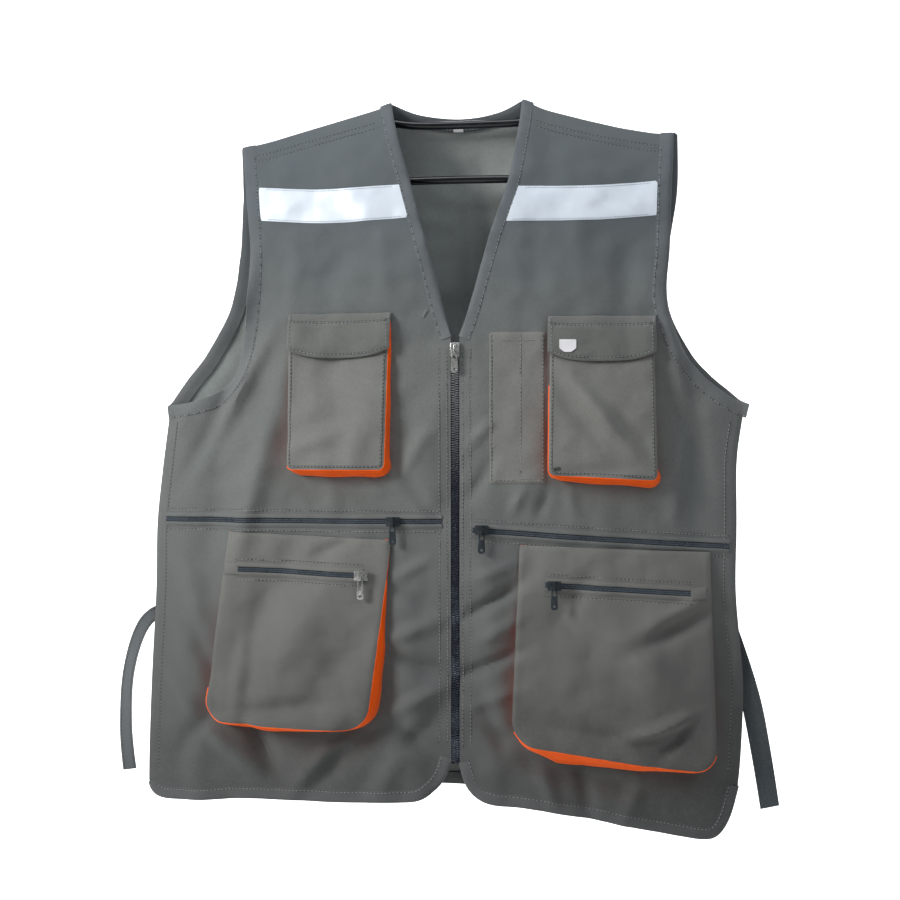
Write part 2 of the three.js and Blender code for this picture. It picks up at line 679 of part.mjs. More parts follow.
function betweenFaces(offset, lower, range) {
  const skin = (face) => (column, row) => {
    const { x, z } = gridPlace(range.left + column, range.foot + row);
    return new THREE.Vector3(x, clothY(face, x, z, offset), z - lower);
  };
  return skinBody(range.right - range.left, range.top - range.foot, skin('front'), skin('back'));
}

const roof = betweenFaces(inner + CLOTH, 0, shoulderRows)
  .subtract(betweenFaces(inner + CLOTH - ROOF_SIDE_WALL, YOKE_TOP_WALL, shoulderRows));
const halfSpace = (sign) => moved(new THREE.BoxGeometry(4 * REACH, REACH, 4 * REACH), 0, sign * REACH / 2, 0);
const frontSpace = halfSpace(-1);
const backSpace = halfSpace(1);
for (const side of SIDES) {
  const ahead = cutAway(
    frontSpace.intersect(frontOutline(side)),
    neckBand(side, NECK_BINDING_WIDTH + SEAM_GAP),
    armholeBand(side, 'front', ARMHOLE_BINDING_WIDTH + SEAM_GAP),
  );
  const behind = cutAway(
    backSpace.intersect(backShape),
    backNeckBand(NECK_BINDING_WIDTH + SEAM_GAP),
    armholeBand(side, 'back', ARMHOLE_BINDING_WIDTH + SEAM_GAP),
  );
  add(`shoulder_yoke_${side.name}`, roof.intersect(yokeRegion(side, 0)).intersect(ahead.add(behind)), FABRIC);
}

// Reflective strips across the chest, from neck binding to armhole binding
const laidOn = inner + CLOTH + SEAM_GAP;
for (const side of SIDES) {
  const top = STRIP_LINE.map((row) => ({
    x: side.sign * HALF_WIDTH * row.out,
    z: -STRIP_DROP * row[side.name],
  }));
  const foot = top.map((point) => ({ x: point.x, z: point.z - STRIP_HEIGHT }));
  const shape = prism([...top, ...foot.reverse()]).intersect(panelPrisms[side.name]);
  const tape = clothSlab('front', laidOn, laidOn + STRIP_THICKNESS);
  add(`reflective_strip_${side.name}`, tape.intersect(shape), SILVER_TAPE);
}

// A bellows pocket's face: place across (u) and down (v), and its distance from the panel
function pocketPlace(pocket, u, v) {
  const left = pocket.x + pocket.leftRun * v;
  const right = pocket.x + pocket.width + pocket.rightRun * v;
  const fall = pocket.topFall * (1 - v) + pocket.footFall * v;
  return { x: left + (right - left) * u, z: pocket.top - pocket.height * v - fall * u };
}

function pocketDepth(pocket, u, v) {
  const belly = 1 - POCKET_SIDE_EASE * (2 * u - 1) ** 2;
  return pocket.mouth + (pocket.depth - pocket.mouth) * v ** POCKET_SWELL * belly;
}

// Skin of the pocket's face; margin adds cells past its sides and foot
function pocketSkin(pocket, offset, margin) {
  return (column, row) => {
    const u = (column - margin) / POCKET_CELLS;
    const v = 1 - (row - margin) / POCKET_CELLS;
    const { x, z } = pocketPlace(pocket, u, v);
    return new THREE.Vector3(x, clothY('front', x, z, inner + CLOTH + pocketDepth(pocket, u, v) + offset), z);
  };
}

function pocketLayer(pocket, low, high, margin = 0) {
  const columns = POCKET_CELLS + 2 * margin;
  const rows = POCKET_CELLS + margin;
  return skinBody(columns, rows, pocketSkin(pocket, high, margin), pocketSkin(pocket, low, margin));
}

// Edge of the pocket from its left top, round the foot, to its right top. Each point
// says how far the gusset behind it shows.
function pocketEdge(pocket) {
  const { left, footLeft, footRight, right } = pocket.shown;
  const corner = pocket.corner;
  const points = [];
  const mark = (u, v, share) => {
    points.push({ ...pocketPlace(pocket, u, v), u, v, grow: share * pocket.depth });
  };
  const down = 1 - corner / pocket.height;
  const inward = corner / pocket.width;
  for (let step = 0; step <= POCKET_SIDE_STEPS; step += 1) {
    const share = step / POCKET_SIDE_STEPS;
    mark(0, down * share, left * share);
  }
  for (let step = 1; step <= CORNER_STEPS; step += 1) {
    const turn = Math.PI / 2 * step / CORNER_STEPS;
    const share = left + (footLeft - left) * step / CORNER_STEPS;
    mark(inward * (1 - Math.cos(turn)), down + (1 - down) * Math.sin(turn), share);
  }
  for (let step = 1; step < POCKET_FOOT_STEPS; step += 1) {
    const share = step / POCKET_FOOT_STEPS;
    mark(inward + (1 - 2 * inward) * share, 1, footLeft + (footRight - footLeft) * share);
  }
  for (let step = CORNER_STEPS; step >= 1; step -= 1) {
    const turn = Math.PI / 2 * step / CORNER_STEPS;
    const share = right + (footRight - right) * step / CORNER_STEPS;
    mark(1 - inward * (1 - Math.cos(turn)), down + (1 - down) * Math.sin(turn), share);
  }
  for (let step = POCKET_SIDE_STEPS; step >= 0; step -= 1) {
    const share = step / POCKET_SIDE_STEPS;
    mark(1, down * share, right * share);
  }
  return points;
}

// Band of cloth from the panel to the back of the pocket's face, open at the mouth
function gussetBody(pocket) {
  const edge = pocketEdge(pocket);
  const wide = edge.map((point, index) => sideways(edge, -point.grow)[index]);
  const baseY = (point) => clothY('front', point.x, point.z, -BAND_SPARE);
  const rimY = ({ x, z, u, v }) => clothY('front', x, z, laidOn + CLOTH / 2 + pocketDepth(pocket, u, v));
  const wall = (base, rim) => (column, row) => {
    const point = row === 0 ? base[column] : rim[column];
    const y = row === 0 ? baseY(point) : rimY(edge[column]);
    return new THREE.Vector3(point.x, y, point.z);
  };
  return skinBody(edge.length - 1, 1, wall(wide, edge), wall(sideways(wide, CLOTH), sideways(edge, CLOTH)));
}

// Pockets: falls as shares of the height, runs as shares of the width. `shown` is how far
// the side cloth shows past the face, as shares of the pocket's depth.
function sized(table, size) {
  return table.map((row) => ({
    ...row,
    ...size,
    topFall: row.topFall * size.height,
    footFall: row.footFall * size.height,
    leftRun: row.leftRun * size.width,
    rightRun: row.rightRun * size.width,
  }));
}

const CHEST_POCKETS = sized([
  {
    name: 'left',
    x: CHEST_POCKET_LEFT_X,
    top: CHEST_POCKET_LEFT_TOP,
    topFall: 0,
    footFall: 0,
    leftRun: -0.01,
    rightRun: -0.03,
    shown: { left: 0.03, footLeft: 0.32, footRight: 0.47, right: 0.32 },
  },
  {
    name: 'right',
    x: CHEST_POCKET_RIGHT_X,
    top: CHEST_POCKET_RIGHT_TOP,
    topFall: -0.007,
    footFall: 0.035,
    leftRun: -0.01,
    rightRun: 0.03,
    shown: { left: 0.16, footLeft: 0.47, footRight: 0.32, right: 0.05 },
  },
], {
  width: CHEST_POCKET_WIDTH,
  height: CHEST_POCKET_HEIGHT,
  depth: CHEST_POCKET_DEPTH,
  mouth: CHEST_MOUTH_DEPTH,
  corner: CHEST_POCKET_CORNER,
});
const LOWER_POCKETS = sized([
  {
    name: 'left',
    x: LOWER_POCKET_LEFT_X,
    top: LOWER_POCKET_LEFT_TOP,
    topFall: 0.032,
    footFall: 0.011,
    leftRun: -0.126,
    rightRun: -0.126,
    shown: { left: 0.07, footLeft: 0.29, footRight: 0.36, right: 0.39 },
    zip: { outer: 0.085, run: 1 },
  },
  {
    name: 'right',
    x: LOWER_POCKET_RIGHT_X,
    top: LOWER_POCKET_RIGHT_TOP,
    topFall: 0.043,
    footFall: 0.172,
    leftRun: -0.04,
    rightRun: 0.04,
    shown: { left: 0.07, footLeft: 0.46, footRight: 0.02, right: 0.02 },
    zip: { outer: 0.88, run: -1 },
  },
], {
  width: LOWER_POCKET_WIDTH,
  height: LOWER_POCKET_HEIGHT,
  depth: LOWER_POCKET_DEPTH,
  mouth: LOWER_MOUTH_DEPTH,
  corner: LOWER_POCKET_CORNER,
});

function addPocket(kind, pocket) {
  const outline = prism(pocketEdge(pocket));
  const face = pocketLayer(pocket, 0, CLOTH).intersect(outline).subtract(frontKeepOut);
  const ahead = pocketLayer(pocket, -SEAM_GAP, REACH, 1);
  const gusset = gussetBody(pocket).subtract(frontKeepOut).subtract(ahead);
  add(`${kind}_face_${pocket.name}`, face, FABRIC);
  add(`${kind}_gusset_${pocket.name}`, gusset, ORANGE);
}

for (const pocket of CHEST_POCKETS) addPocket('chest_pocket', pocket);
for (const pocket of LOWER_POCKETS) addPocket('lower_pocket', pocket);

// Flaps lie over the chest pockets, from a seam above the mouth
function flapSkin(pocket, offset) {
  return (column, row) => {
    const across = column / FLAP_COLUMNS;
    const down = 1 - row / FLAP_ROWS;
    const u = -FLAP_OVERHANG / pocket.width + across * (1 + 2 * FLAP_OVERHANG / pocket.width);
    const drop = FLAP_HEIGHT * down * (1 - FLAP_CORNER_LIFT * Math.abs(2 * across - 1) ** 3);
    const v = Math.max(0, (drop - FLAP_ABOVE_POCKET) / pocket.height);
    const { x } = pocketPlace(pocket, u, v);
    const z = pocketPlace(pocket, u, 0).z + FLAP_ABOVE_POCKET - drop;
    const over = Math.min(1, down * FLAP_ROWS) * (pocketDepth(pocket, u, v) + CLOTH + FLAP_LIFT * down);
    return new THREE.Vector3(x, clothY('front', x, z, laidOn + over + offset), z);
  };
}

function addFlap(pocket) {
  const cover = pocketLayer(pocket, -REACH, CLOTH + SEAM_GAP);
  const flap = skinBody(FLAP_COLUMNS, FLAP_ROWS, flapSkin(pocket, FLAP_THICKNESS), flapSkin(pocket, 0));
  add(`chest_pocket_flap_${pocket.name}`, cutAway(flap, frontKeepOut, cover), FABRIC);
}

for (const pocket of CHEST_POCKETS) addFlap(pocket);

// Blank patch near the inner corner of the right flap
const patched = CHEST_POCKETS[1];
const badgeX = patched.x + BADGE_INSET;
const badgeTop = patched.top + FLAP_ABOVE_POCKET - BADGE_DROP;
const badgeShape = prism([
  { out: 0, down: 0 },
  { out: 0, down: BADGE_SHOULDER },
  { out: BADGE_TOE, down: 1 },
  { out: 1 - BADGE_TOE, down: 1 },
  { out: 1, down: BADGE_SHOULDER },
  { out: 1, down: 0 },
].map((row) => ({ x: badgeX + BADGE_WIDTH * row.out, z: badgeTop - BADGE_HEIGHT * row.down })));
const badgeSeat = FLAP_THICKNESS + SEAM_GAP;
const badgeSkins = [badgeSeat + BADGE_THICKNESS, badgeSeat].map((offset) => flapSkin(patched, offset));
const badge = skinBody(FLAP_COLUMNS, FLAP_ROWS, ...badgeSkins);
add('flap_badge', badge.intersect(badgeShape), WHITE_PATCH);

// Flat pocket for pens, sewn on between the zip and the right chest pocket
function slabPiece(low, high, shape) {
  return clothSlab('front', low, high).intersect(shape);
}

function rectangle(left, right, foot, top) {
  return prism([{ x: left, z: foot }, { x: right, z: foot }, { x: right, z: top }, { x: left, z: top }]);
}

const penRight = CHEST_POCKET_RIGHT_X - PEN_POCKET_GAP;
const penFoot = PEN_POCKET_TOP - PEN_POCKET_HEIGHT;
const penShape = rectangle(penRight - PEN_POCKET_WIDTH, penRight, penFoot, PEN_POCKET_TOP);
add('pen_pocket', slabPiece(laidOn, laidOn + PEN_POCKET_THICKNESS, penShape), FABRIC);

// Slider with its bail, and the puller that hangs in the bail. The place is the point
// on the surface under the middle of the slider; the hinge runs along X.
function sliderBody(place, alongX) {
  const width = alongX ? SLIDER_LENGTH : SLIDER_WIDTH;
  const height = alongX ? SLIDER_WIDTH : SLIDER_LENGTH;
  const plateY = place.y - SLIDER_THICKNESS / 2;
  const plate = moved(new THREE.BoxGeometry(width, SLIDER_THICKNESS, height), place.x, plateY, place.z);
  const front = place.y - SLIDER_THICKNESS;
  const bailHeight = BAIL_SPAN + 2 * BAIL_BAR;
  const reach = BAIL_RISE + BAIL_BAR;
  const blockY = front - (reach - BAIL_SINK) / 2;
  const loop = new THREE.BoxGeometry(BAIL_WIDTH, reach + BAIL_SINK, bailHeight);
  const block = moved(loop, place.x, blockY, place.z);
  const roomY = front - BAIL_RISE / 2;
  const room = moved(new THREE.BoxGeometry(BAIL_WIDTH * 2, BAIL_RISE, BAIL_SPAN), place.x, roomY, place.z);
  return block.subtract(room).add(plate);
}

function hingeOf(place) {
  return {
    x: place.x,
    y: place.y - SLIDER_THICKNESS - BAIL_RISE / 2,
    z: place.z - BAIL_SPAN / 2 + SEAM_GAP + PULLER_THICKNESS / 2 + PULLER_EYE_RIM / 2,
  };
}

function pullerBody(place) {
  const hinge = hingeOf(place);
  const half = PULLER_WIDTH / 2;
  const top = PULLER_EYE_RIM / 2;
  const foot = top - PULLER_LENGTH;
  const outline = new THREE.Shape();
  outline.moveTo(-half * PULLER_NECK, top);
  outline.lineTo(-half * PULLER_NECK, top - PULLER_EYE_LENGTH);
  outline.lineTo(-half, foot + half);
  outline.quadraticCurveTo(-half, foot, 0, foot);
  outline.quadraticCurveTo(half, foot, half, foot + half);
  outline.lineTo(half * PULLER_NECK, top - PULLER_EYE_LENGTH);
  outline.lineTo(half * PULLER_NECK, top);
  outline.closePath();
  const eye = new THREE.Path();
  const eyeTop = top - PULLER_EYE_RIM;
  eye.moveTo(-PULLER_EYE_WIDTH / 2, eyeTop);
  eye.lineTo(PULLER_EYE_WIDTH / 2, eyeTop);
  eye.lineTo(PULLER_EYE_WIDTH / 2, eyeTop - PULLER_EYE_LENGTH);
  eye.lineTo(-PULLER_EYE_WIDTH / 2, eyeTop - PULLER_EYE_LENGTH);
  eye.closePath();
  const hole = new THREE.Path();
  hole.absarc(0, foot + half, PULLER_HOLE / 2, 0, 2 * Math.PI, true);
  outline.holes.push(eye, hole);
  const geometry = new THREE.ExtrudeGeometry(outline, {
    depth: PULLER_THICKNESS,
    bevelEnabled: false,
    curveSegments: PULLER_CURVE_STEPS,
  });
  geometry.rotateX(Math.PI / 2);
  return moved(geometry, hinge.x, hinge.y + PULLER_THICKNESS / 2, hinge.z);
}

function addSlider(prefix, suffix, place, alongX, finish) {
  add(`${prefix}_slider${suffix}`, sliderBody(place, alongX), finish);
  add(`${prefix}_puller${suffix}`, pullerBody(place), finish);
}

// Most forward point of a surface under a slider
function seatY(surface, x, z, alongX) {
  const halfX = (alongX ? SLIDER_LENGTH : SLIDER_WIDTH) / 2;
  const halfZ = (alongX ? SLIDER_WIDTH : SLIDER_LENGTH) / 2;
  let lowest = Infinity;
  for (const across of [-1, 0, 1]) {
    for (const up of [-1, 0, 1]) lowest = Math.min(lowest, surface(x + across * halfX, z + up * halfZ));
  }
  return lowest - SEAM_GAP;
}

// Zips across the waist seam, each one band of folded edges, tape and coil
function bandAlong(points, width) {
  return prism([...sideways(points, width / 2), ...sideways(points, -width / 2).reverse()]);
}

const YOKE_ZIPS = [
  {
    name: 'left',
    from: -YOKE_ZIP_INNER_LEFT,
    to: -YOKE_ZIP_OUTER_LEFT,
    z: YOKE_ZIP_LEFT_Z,
    fall: YOKE_ZIP_LEFT_FALL,
    slider: YOKE_SLIDER_LEFT,
  },
  {
    name: 'right',
    from: YOKE_ZIP_INNER_RIGHT,
    to: YOKE_ZIP_OUTER_RIGHT,
    z: YOKE_ZIP_RIGHT_Z,
    fall: YOKE_ZIP_RIGHT_FALL,
    slider: YOKE_SLIDER_RIGHT,
  },
];
for (const zip of YOKE_ZIPS) {
  const along = (share) => ({ x: zip.from + (zip.to - zip.from) * share, z: zip.z - zip.fall * share });
  const band = bandAlong([0, 0.5, 1].map(along), ZIP_TAPE_WIDTH);
  add(`yoke_zip_${zip.name}`, slabPiece(laidOn, laidOn + ZIP_TAPE_THICKNESS, band), ZIP_TAPE);
  const surface = (x, z) => clothY('front', x, z, laidOn + ZIP_TAPE_THICKNESS);
  const seat = along(zip.slider);
  const place = { ...seat, y: seatY(surface, seat.x, seat.z, true) };
  addSlider('yoke_zip', `_${zip.name}`, place, true, DARK_METAL);
}

// Zips across the lower pockets, on the faces
for (const pocket of LOWER_POCKETS) {
  const v = POCKET_ZIP_DROP / pocket.height;
  const inward = pocket.zip.outer + pocket.zip.run * POCKET_ZIP_LENGTH / pocket.width;
  const ends = [pocket.zip.outer, inward].sort((a, b) => a - b);
  const line = [ends[0], (ends[0] + ends[1]) / 2, ends[1]].map((u) => pocketPlace(pocket, u, v));
  const onFace = CLOTH + SEAM_GAP;
  const layer = pocketLayer(pocket, onFace, onFace + ZIP_TAPE_THICKNESS);
  add(`lower_pocket_zip_${pocket.name}`, layer.intersect(bandAlong(line, ZIP_TAPE_WIDTH)), ZIP_TAPE);
  const seatU = inward + (pocket.zip.outer - inward) * POCKET_SLIDER;
  const seat = pocketPlace(pocket, seatU, v);
  const surface = (x, z) => {
    const down = Math.max(0, v + (seat.z - z) / pocket.height);
    const face = inner + CLOTH + pocketDepth(pocket, seatU, down);
    return clothY('front', x, z, face + onFace + ZIP_TAPE_THICKNESS);
  };
  const place = { ...seat, y: seatY(surface, seat.x, seat.z, true) };
  const finish = pocket.name === 'left' ? BRIGHT_METAL : DARK_METAL;
  addSlider('lower_pocket', `_${pocket.name}`, place, true, finish);
}

// Front zip: tapes behind the front edges, teeth between them, slider at the top
const tapeOuter = inner - SEAM_GAP;
for (const side of SIDES) {
  const near = TEETH_GAP / 2;
  const tapeEdges = [side.sign * near, side.sign * (near + FRONT_TAPE_WIDTH)].sort((a, b) => a - b);
  const tapeShape = rectangle(...tapeEdges, FRONT_ZIP_BOTTOM, FRONT_ZIP_TOP);
  const tape = slabPiece(tapeOuter - FRONT_TAPE_THICKNESS, tapeOuter, tapeShape);
  add(`front_zip_tape_${side.name}`, tape, ZIP_TAPE);
  const teethEdges = [side.sign * near, side.sign * (near + TEETH_WIDTH)].sort((a, b) => a - b);
  const teethShape = rectangle(...teethEdges, FRONT_ZIP_BOTTOM + SEAM_GAP, FRONT_ZIP_TOP - SEAM_GAP);
  const teethInner = tapeOuter + SEAM_GAP;
  const teeth = slabPiece(teethInner, teethInner + TEETH_THICKNESS, teethShape);
  add(`front_zip_teeth_${side.name}`, teeth, DARK_METAL);
}
const frontSurface = (x, z) => clothY('front', x, z, inner + CLOTH + BINDING_PROUD);
const frontSliderZ = FRONT_ZIP_TOP - SLIDER_LENGTH / 2;
const frontSeat = { x: 0, y: seatY(frontSurface, 0, frontSliderZ, false), z: frontSliderZ };
addSlider('front_zip', '', frontSeat, false, BRIGHT_METAL);

// Loose ties, sewn on behind the side seams
function tieBody(path, sign, width) {
  const points = path.map((row) => ({ x: sign * HALF_WIDTH * row.out, z: -BODY_LENGTH * row.drop }));
  const middle = spline(points, TIE_STEPS);
  const edges = [sideways(middle, width / 2), sideways(middle, -width / 2)];
  const skin = (offset) => (column, row) => {
    const edge = edges[1 - row][column];
    const swing = TIE_SWING * column / TIE_STEPS;
    const y = clothY('back', edge.x, edge.z, inner + CLOTH + BINDING_PROUD + SEAM_GAP) + swing + offset;
    return new THREE.Vector3(edge.x, y, edge.z);
  };
  return skinBody(TIE_STEPS, 1, skin(0), skin(TIE_THICKNESS));
}

const boundKeepOut = clothSlab('back', -REACH, inner + CLOTH + BINDING_PROUD + SEAM_GAP);
add('tie_left', tieBody(LEFT_TIE_PATH, -1, LEFT_TIE_WIDTH).subtract(boundKeepOut), FABRIC);
add('tie_right', tieBody(RIGHT_TIE_PATH, 1, RIGHT_TIE_WIDTH).subtract(boundKeepOut), FABRIC);

// Small blank label inside the back neck
const labelLeft = LABEL_X - LABEL_WIDTH / 2;
const labelShape = rectangle(labelLeft, labelLeft + LABEL_WIDTH, LABEL_TOP - LABEL_HEIGHT, LABEL_TOP);
const labelSlab = clothSlab('back', tapeOuter - LABEL_THICKNESS, tapeOuter);
add('neck_label', labelSlab.intersect(labelShape), WHITE_PATCH);

// Hanger: arms that carry the shoulders, bent down at the ends to a straight lower bar
// A shoulder's inner faces open downwards like a roof. The rod's centre lies as deep below
// the ridge as a round of its radius and clearance needs between the two slopes.
function armSeat(x) {
  const ridge = ridgeHeight(x);
  const depthAt = (face) => clothDepth(face, x, ridge - SHOULDER_ROW) / SHOULDER_ROW;
  const front = depthAt('front');
  const back = depthAt('back');
  const radius = HANGER_ROD / 2 + HANGER_CLEARANCE;
  const lengths = Math.hypot(1, front) + Math.hypot(1, back);
  const open = inner + CLOTH - ROOF_SIDE_WALL;
  const drop = (radius * lengths - 2 * open) / (front + back);
  return { z: ridge - YOKE_TOP_WALL - drop, y: radius * Math.hypot(1, front) - open - front * drop };
}

function rodAlong(points, steps) {
  const places = points.map((point) => new THREE.Vector3(point.x, point.y, point.z));
  const path = new THREE.CatmullRomCurve3(places);
  const section = new THREE.Shape();
  section.absarc(0, 0, HANGER_ROD / 2, 0, 2 * Math.PI, false);
  const round = new THREE.Shape(section.getSpacedPoints(HANGER_ROD_SIDES).slice(0, HANGER_ROD_SIDES));
  return toSolid(new THREE.ExtrudeGeometry(round, { steps, bevelEnabled: false, extrudePath: path }));
}

const armPoints = [];
for (const side of SIDES) {
  const seats = ARM_SEATS.map((share) => {
    const x = side.sign * HANGER_HALF_SPAN * share;
    return { x, ...armSeat(x) };
  });
  const end = last(seats);
  const bends = HANGER_BENDS.map((bend) => ({
    x: side.sign * (HANGER_HALF_SPAN + HANGER_END_RADIUS * bend.out),
    y: end.y * bend.ahead,
    z: end.z - HANGER_END_RADIUS * bend.down,
  }));
  const arm = [{ x: side.sign * NECK_HALF_WIDTH * ARM_START, y: 0, z: 0 }, ...seats, ...bends];
  armPoints.push(...(side.sign < 0 ? arm.reverse() : arm));
}
const upper = rodAlong(armPoints, HANGER_STEPS);
const lowerEnds = [first(armPoints), last(armPoints)];
const barPoints = SIDES.map((side, index) => {
  const arm = lowerEnds[index];
  return [
    { x: arm.x + side.sign * HANGER_ROD * LOWER_BAR_LAP.inward, z: arm.z + HANGER_ROD * LOWER_BAR_LAP.up },
    { x: arm.x - side.sign * HANGER_END_RADIUS * LOWER_BAR_BEND, z: -HANGER_BAR_DROP },
  ];
});
const barMiddle = { x: 0, z: -HANGER_BAR_DROP };
const barLine = [...barPoints[0], barMiddle, ...barPoints[1].reverse()].map((place) => ({ ...place, y: 0 }));
const lowerBar = rodAlong(barLine, LOWER_BAR_STEPS);
add('hanger', upper.add(lowerBar), HANGER_BLACK);

export default vest;
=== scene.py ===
# Looks of the utility work vest on its hanger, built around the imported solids.
# Lengths are millimetres until a mesh is made, and metres in the scene.
# +Z is up, the front faces -Y, and +X is to the right as one looks at the front.
import math
import bmesh
import bpy
import numpy as np
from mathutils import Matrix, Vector
from mathutils.geometry import delaunay_2d_cdt


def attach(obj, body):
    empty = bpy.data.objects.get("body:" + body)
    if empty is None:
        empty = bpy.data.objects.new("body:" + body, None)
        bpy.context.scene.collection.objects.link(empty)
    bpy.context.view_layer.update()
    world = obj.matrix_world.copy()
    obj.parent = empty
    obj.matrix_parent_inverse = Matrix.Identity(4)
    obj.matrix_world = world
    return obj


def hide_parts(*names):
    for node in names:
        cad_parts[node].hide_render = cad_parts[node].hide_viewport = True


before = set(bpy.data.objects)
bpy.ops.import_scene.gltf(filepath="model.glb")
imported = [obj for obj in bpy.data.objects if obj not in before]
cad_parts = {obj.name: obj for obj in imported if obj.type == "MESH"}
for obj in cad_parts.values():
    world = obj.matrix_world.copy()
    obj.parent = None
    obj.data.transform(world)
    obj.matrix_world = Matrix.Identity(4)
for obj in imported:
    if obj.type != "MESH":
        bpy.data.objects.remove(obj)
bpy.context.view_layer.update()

MM = 0.001

# Sizes of the garment, as in the part
HALF_WIDTH = 300
BODY_LENGTH = 700
FRONT_DEPTH = 48
BACK_DEPTH = 36
SHOULDER_ROUND = 50
SIDE_SHARPNESS = 2.2
SHOULDER_RUN = 220
SHOULDER_DROP = 42
NECK_POINT_HEIGHT = 22
NECK_HALF_WIDTH = 70
V_DEPTH = 238
ARMHOLE_DROP = 281
BACK_NECK_DROP = 15
SKIN_OUT = 2.15  # outer face of the panels from the nominal surface
SKIN_IN = 0.8
LAID_ON = 2.3  # pieces that lie on a panel start here
NECK_BINDING_WIDTH = 11
ARMHOLE_BINDING_WIDTH = 13
HEM_BAND_WIDTH = 11
OPENING_HALF = 4.2  # zip line to each front edge
FRONT_ZIP_TOP = -222
FRONT_ZIP_BOTTOM = -628
YOKE_DEPTH_AT_NECK = 22
YOKE_DEPTH_AT_TIP = 13

SECTION_DROPS = [0.0, 0.17, 0.4, 0.47, 0.57, 0.66, 0.79, 0.91, 1.05]
SECTION_LEFT = [0.917, 0.953, 0.99, 1.013, 1.04, 1.04, 1.057, 1.067, 1.067]
SECTION_RIGHT = [0.873, 0.907, 0.935, 0.903, 0.907, 0.9, 0.93, 0.917, 0.873]
SECTION_DEPTH = [1.0, 1.0, 1.0, 0.99, 0.97, 0.95, 0.93, 0.92, 0.92]
SHOULDER_RUNS = [0.0, 0.3, 0.38, 0.57, 0.72, 0.88, 1.0, 1.5]
SHOULDER_LEFT = [0.0, 0.0, 0.14, 0.41, 0.62, 0.85, 0.98, 1.25]
SHOULDER_RIGHT = [0.0, 0.03, 0.24, 0.52, 0.72, 0.88, 0.88, 1.1]
V_EDGE = {
    "left": [(0.0, 1.0), (0.14, 0.88), (0.37, 0.65), (0.57, 0.46), (0.78, 0.27), (0.93, 0.14)],
    "right": [(0.0, 0.9), (0.14, 0.86), (0.37, 0.73), (0.57, 0.5), (0.78, 0.3), (0.93, 0.15)],
}
ARMHOLE_DROPS = [0.0, 0.2, 0.42, 0.63, 0.8, 0.89, 0.95, 0.985, 1.0]
ARMHOLE_OUT = {
    ("front", "left"): [0.735, 0.71, 0.69, 0.7, 0.72, 0.75, 0.81, 0.9, 1.0],
    ("front", "right"): [0.7, 0.69, 0.683, 0.673, 0.725, 0.785, 0.85, 0.9, 0.945],
    ("back", "left"): [0.74, 0.745, 0.757, 0.797, 0.873, 0.93, 0.965, 0.985, 1.0],
    ("back", "right"): [0.712, 0.713, 0.687, 0.687, 0.755, 0.82, 0.88, 0.915, 0.945],
}
HEM_OUT = [0.014, 0.035, 0.07, 0.13, 0.25, 0.4, 0.55, 0.7, 0.8]
HEM_DROP = {
    "left": [0.89, 0.915, 0.934, 0.949, 0.953, 0.955, 0.956, 0.958, 0.962],
    "right": [0.895, 0.926, 0.943, 0.952, 0.956, 0.967, 0.981, 0.995, 1.003],
}
HEM_END = {
    "left": [(0.95, 0.968), (1.02, 0.968), (1.058, 0.957), (1.075, 0.93)],
    "right": [(0.845, 0.998), (0.88, 0.976), (0.905, 0.94), (0.92, 0.91)],
}
BACK_HEM_START = 0.13
SIGN = {"left": -1, "right": 1}

# Main folds, as in the part: face, out, drop, slant, width, length, height
MAIN_FOLDS = [
    ("front", -0.66, 0.5, -0.28, 0.045, 0.16, 0.2),
    ("front", -0.8, 0.47, -0.1, 0.07, 0.12, -0.12),
    ("front", 0.77, 0.52, 0.12, 0.05, 0.14, -0.14),
    ("front", -0.14, 0.8, 0.05, 0.05, 0.2, 0.08),
    ("front", 0.12, 0.78, 0.04, 0.05, 0.2, 0.09),
    ("front", -0.9, 0.82, 0.08, 0.06, 0.22, 0.14),
    ("front", 0.86, 0.85, -0.04, 0.05, 0.2, 0.16),
    ("back", 0.06, 0.3, 0.05, 0.06, 0.3, 0.1),
    ("back", -0.4, 0.75, 0.06, 0.09, 0.3, 0.14),
    ("back", 0.42, 0.8, -0.06, 0.09, 0.3, 0.14),
]

# What the heights of the small folds are multiplied by, on the panels and on the pocket faces
FOLD_GAIN = 3.1
FACE_FOLD_GAIN = 3.6

# Places of the sliders, where the cloth lies calm
CALM_PLACES = [(-60, -394), (26, -402), (-90, -442), (95, -454), (0, -228)]
CALM_REACH = 20

# Uneven cloth: height, squeeze from top to foot, cell and shift of each layer of noise
CLOTH_NOISE = [(3.4, 0.6, 56, 0), (1.7, 1, 23, 5), (0.3, 1, 9, 9)]

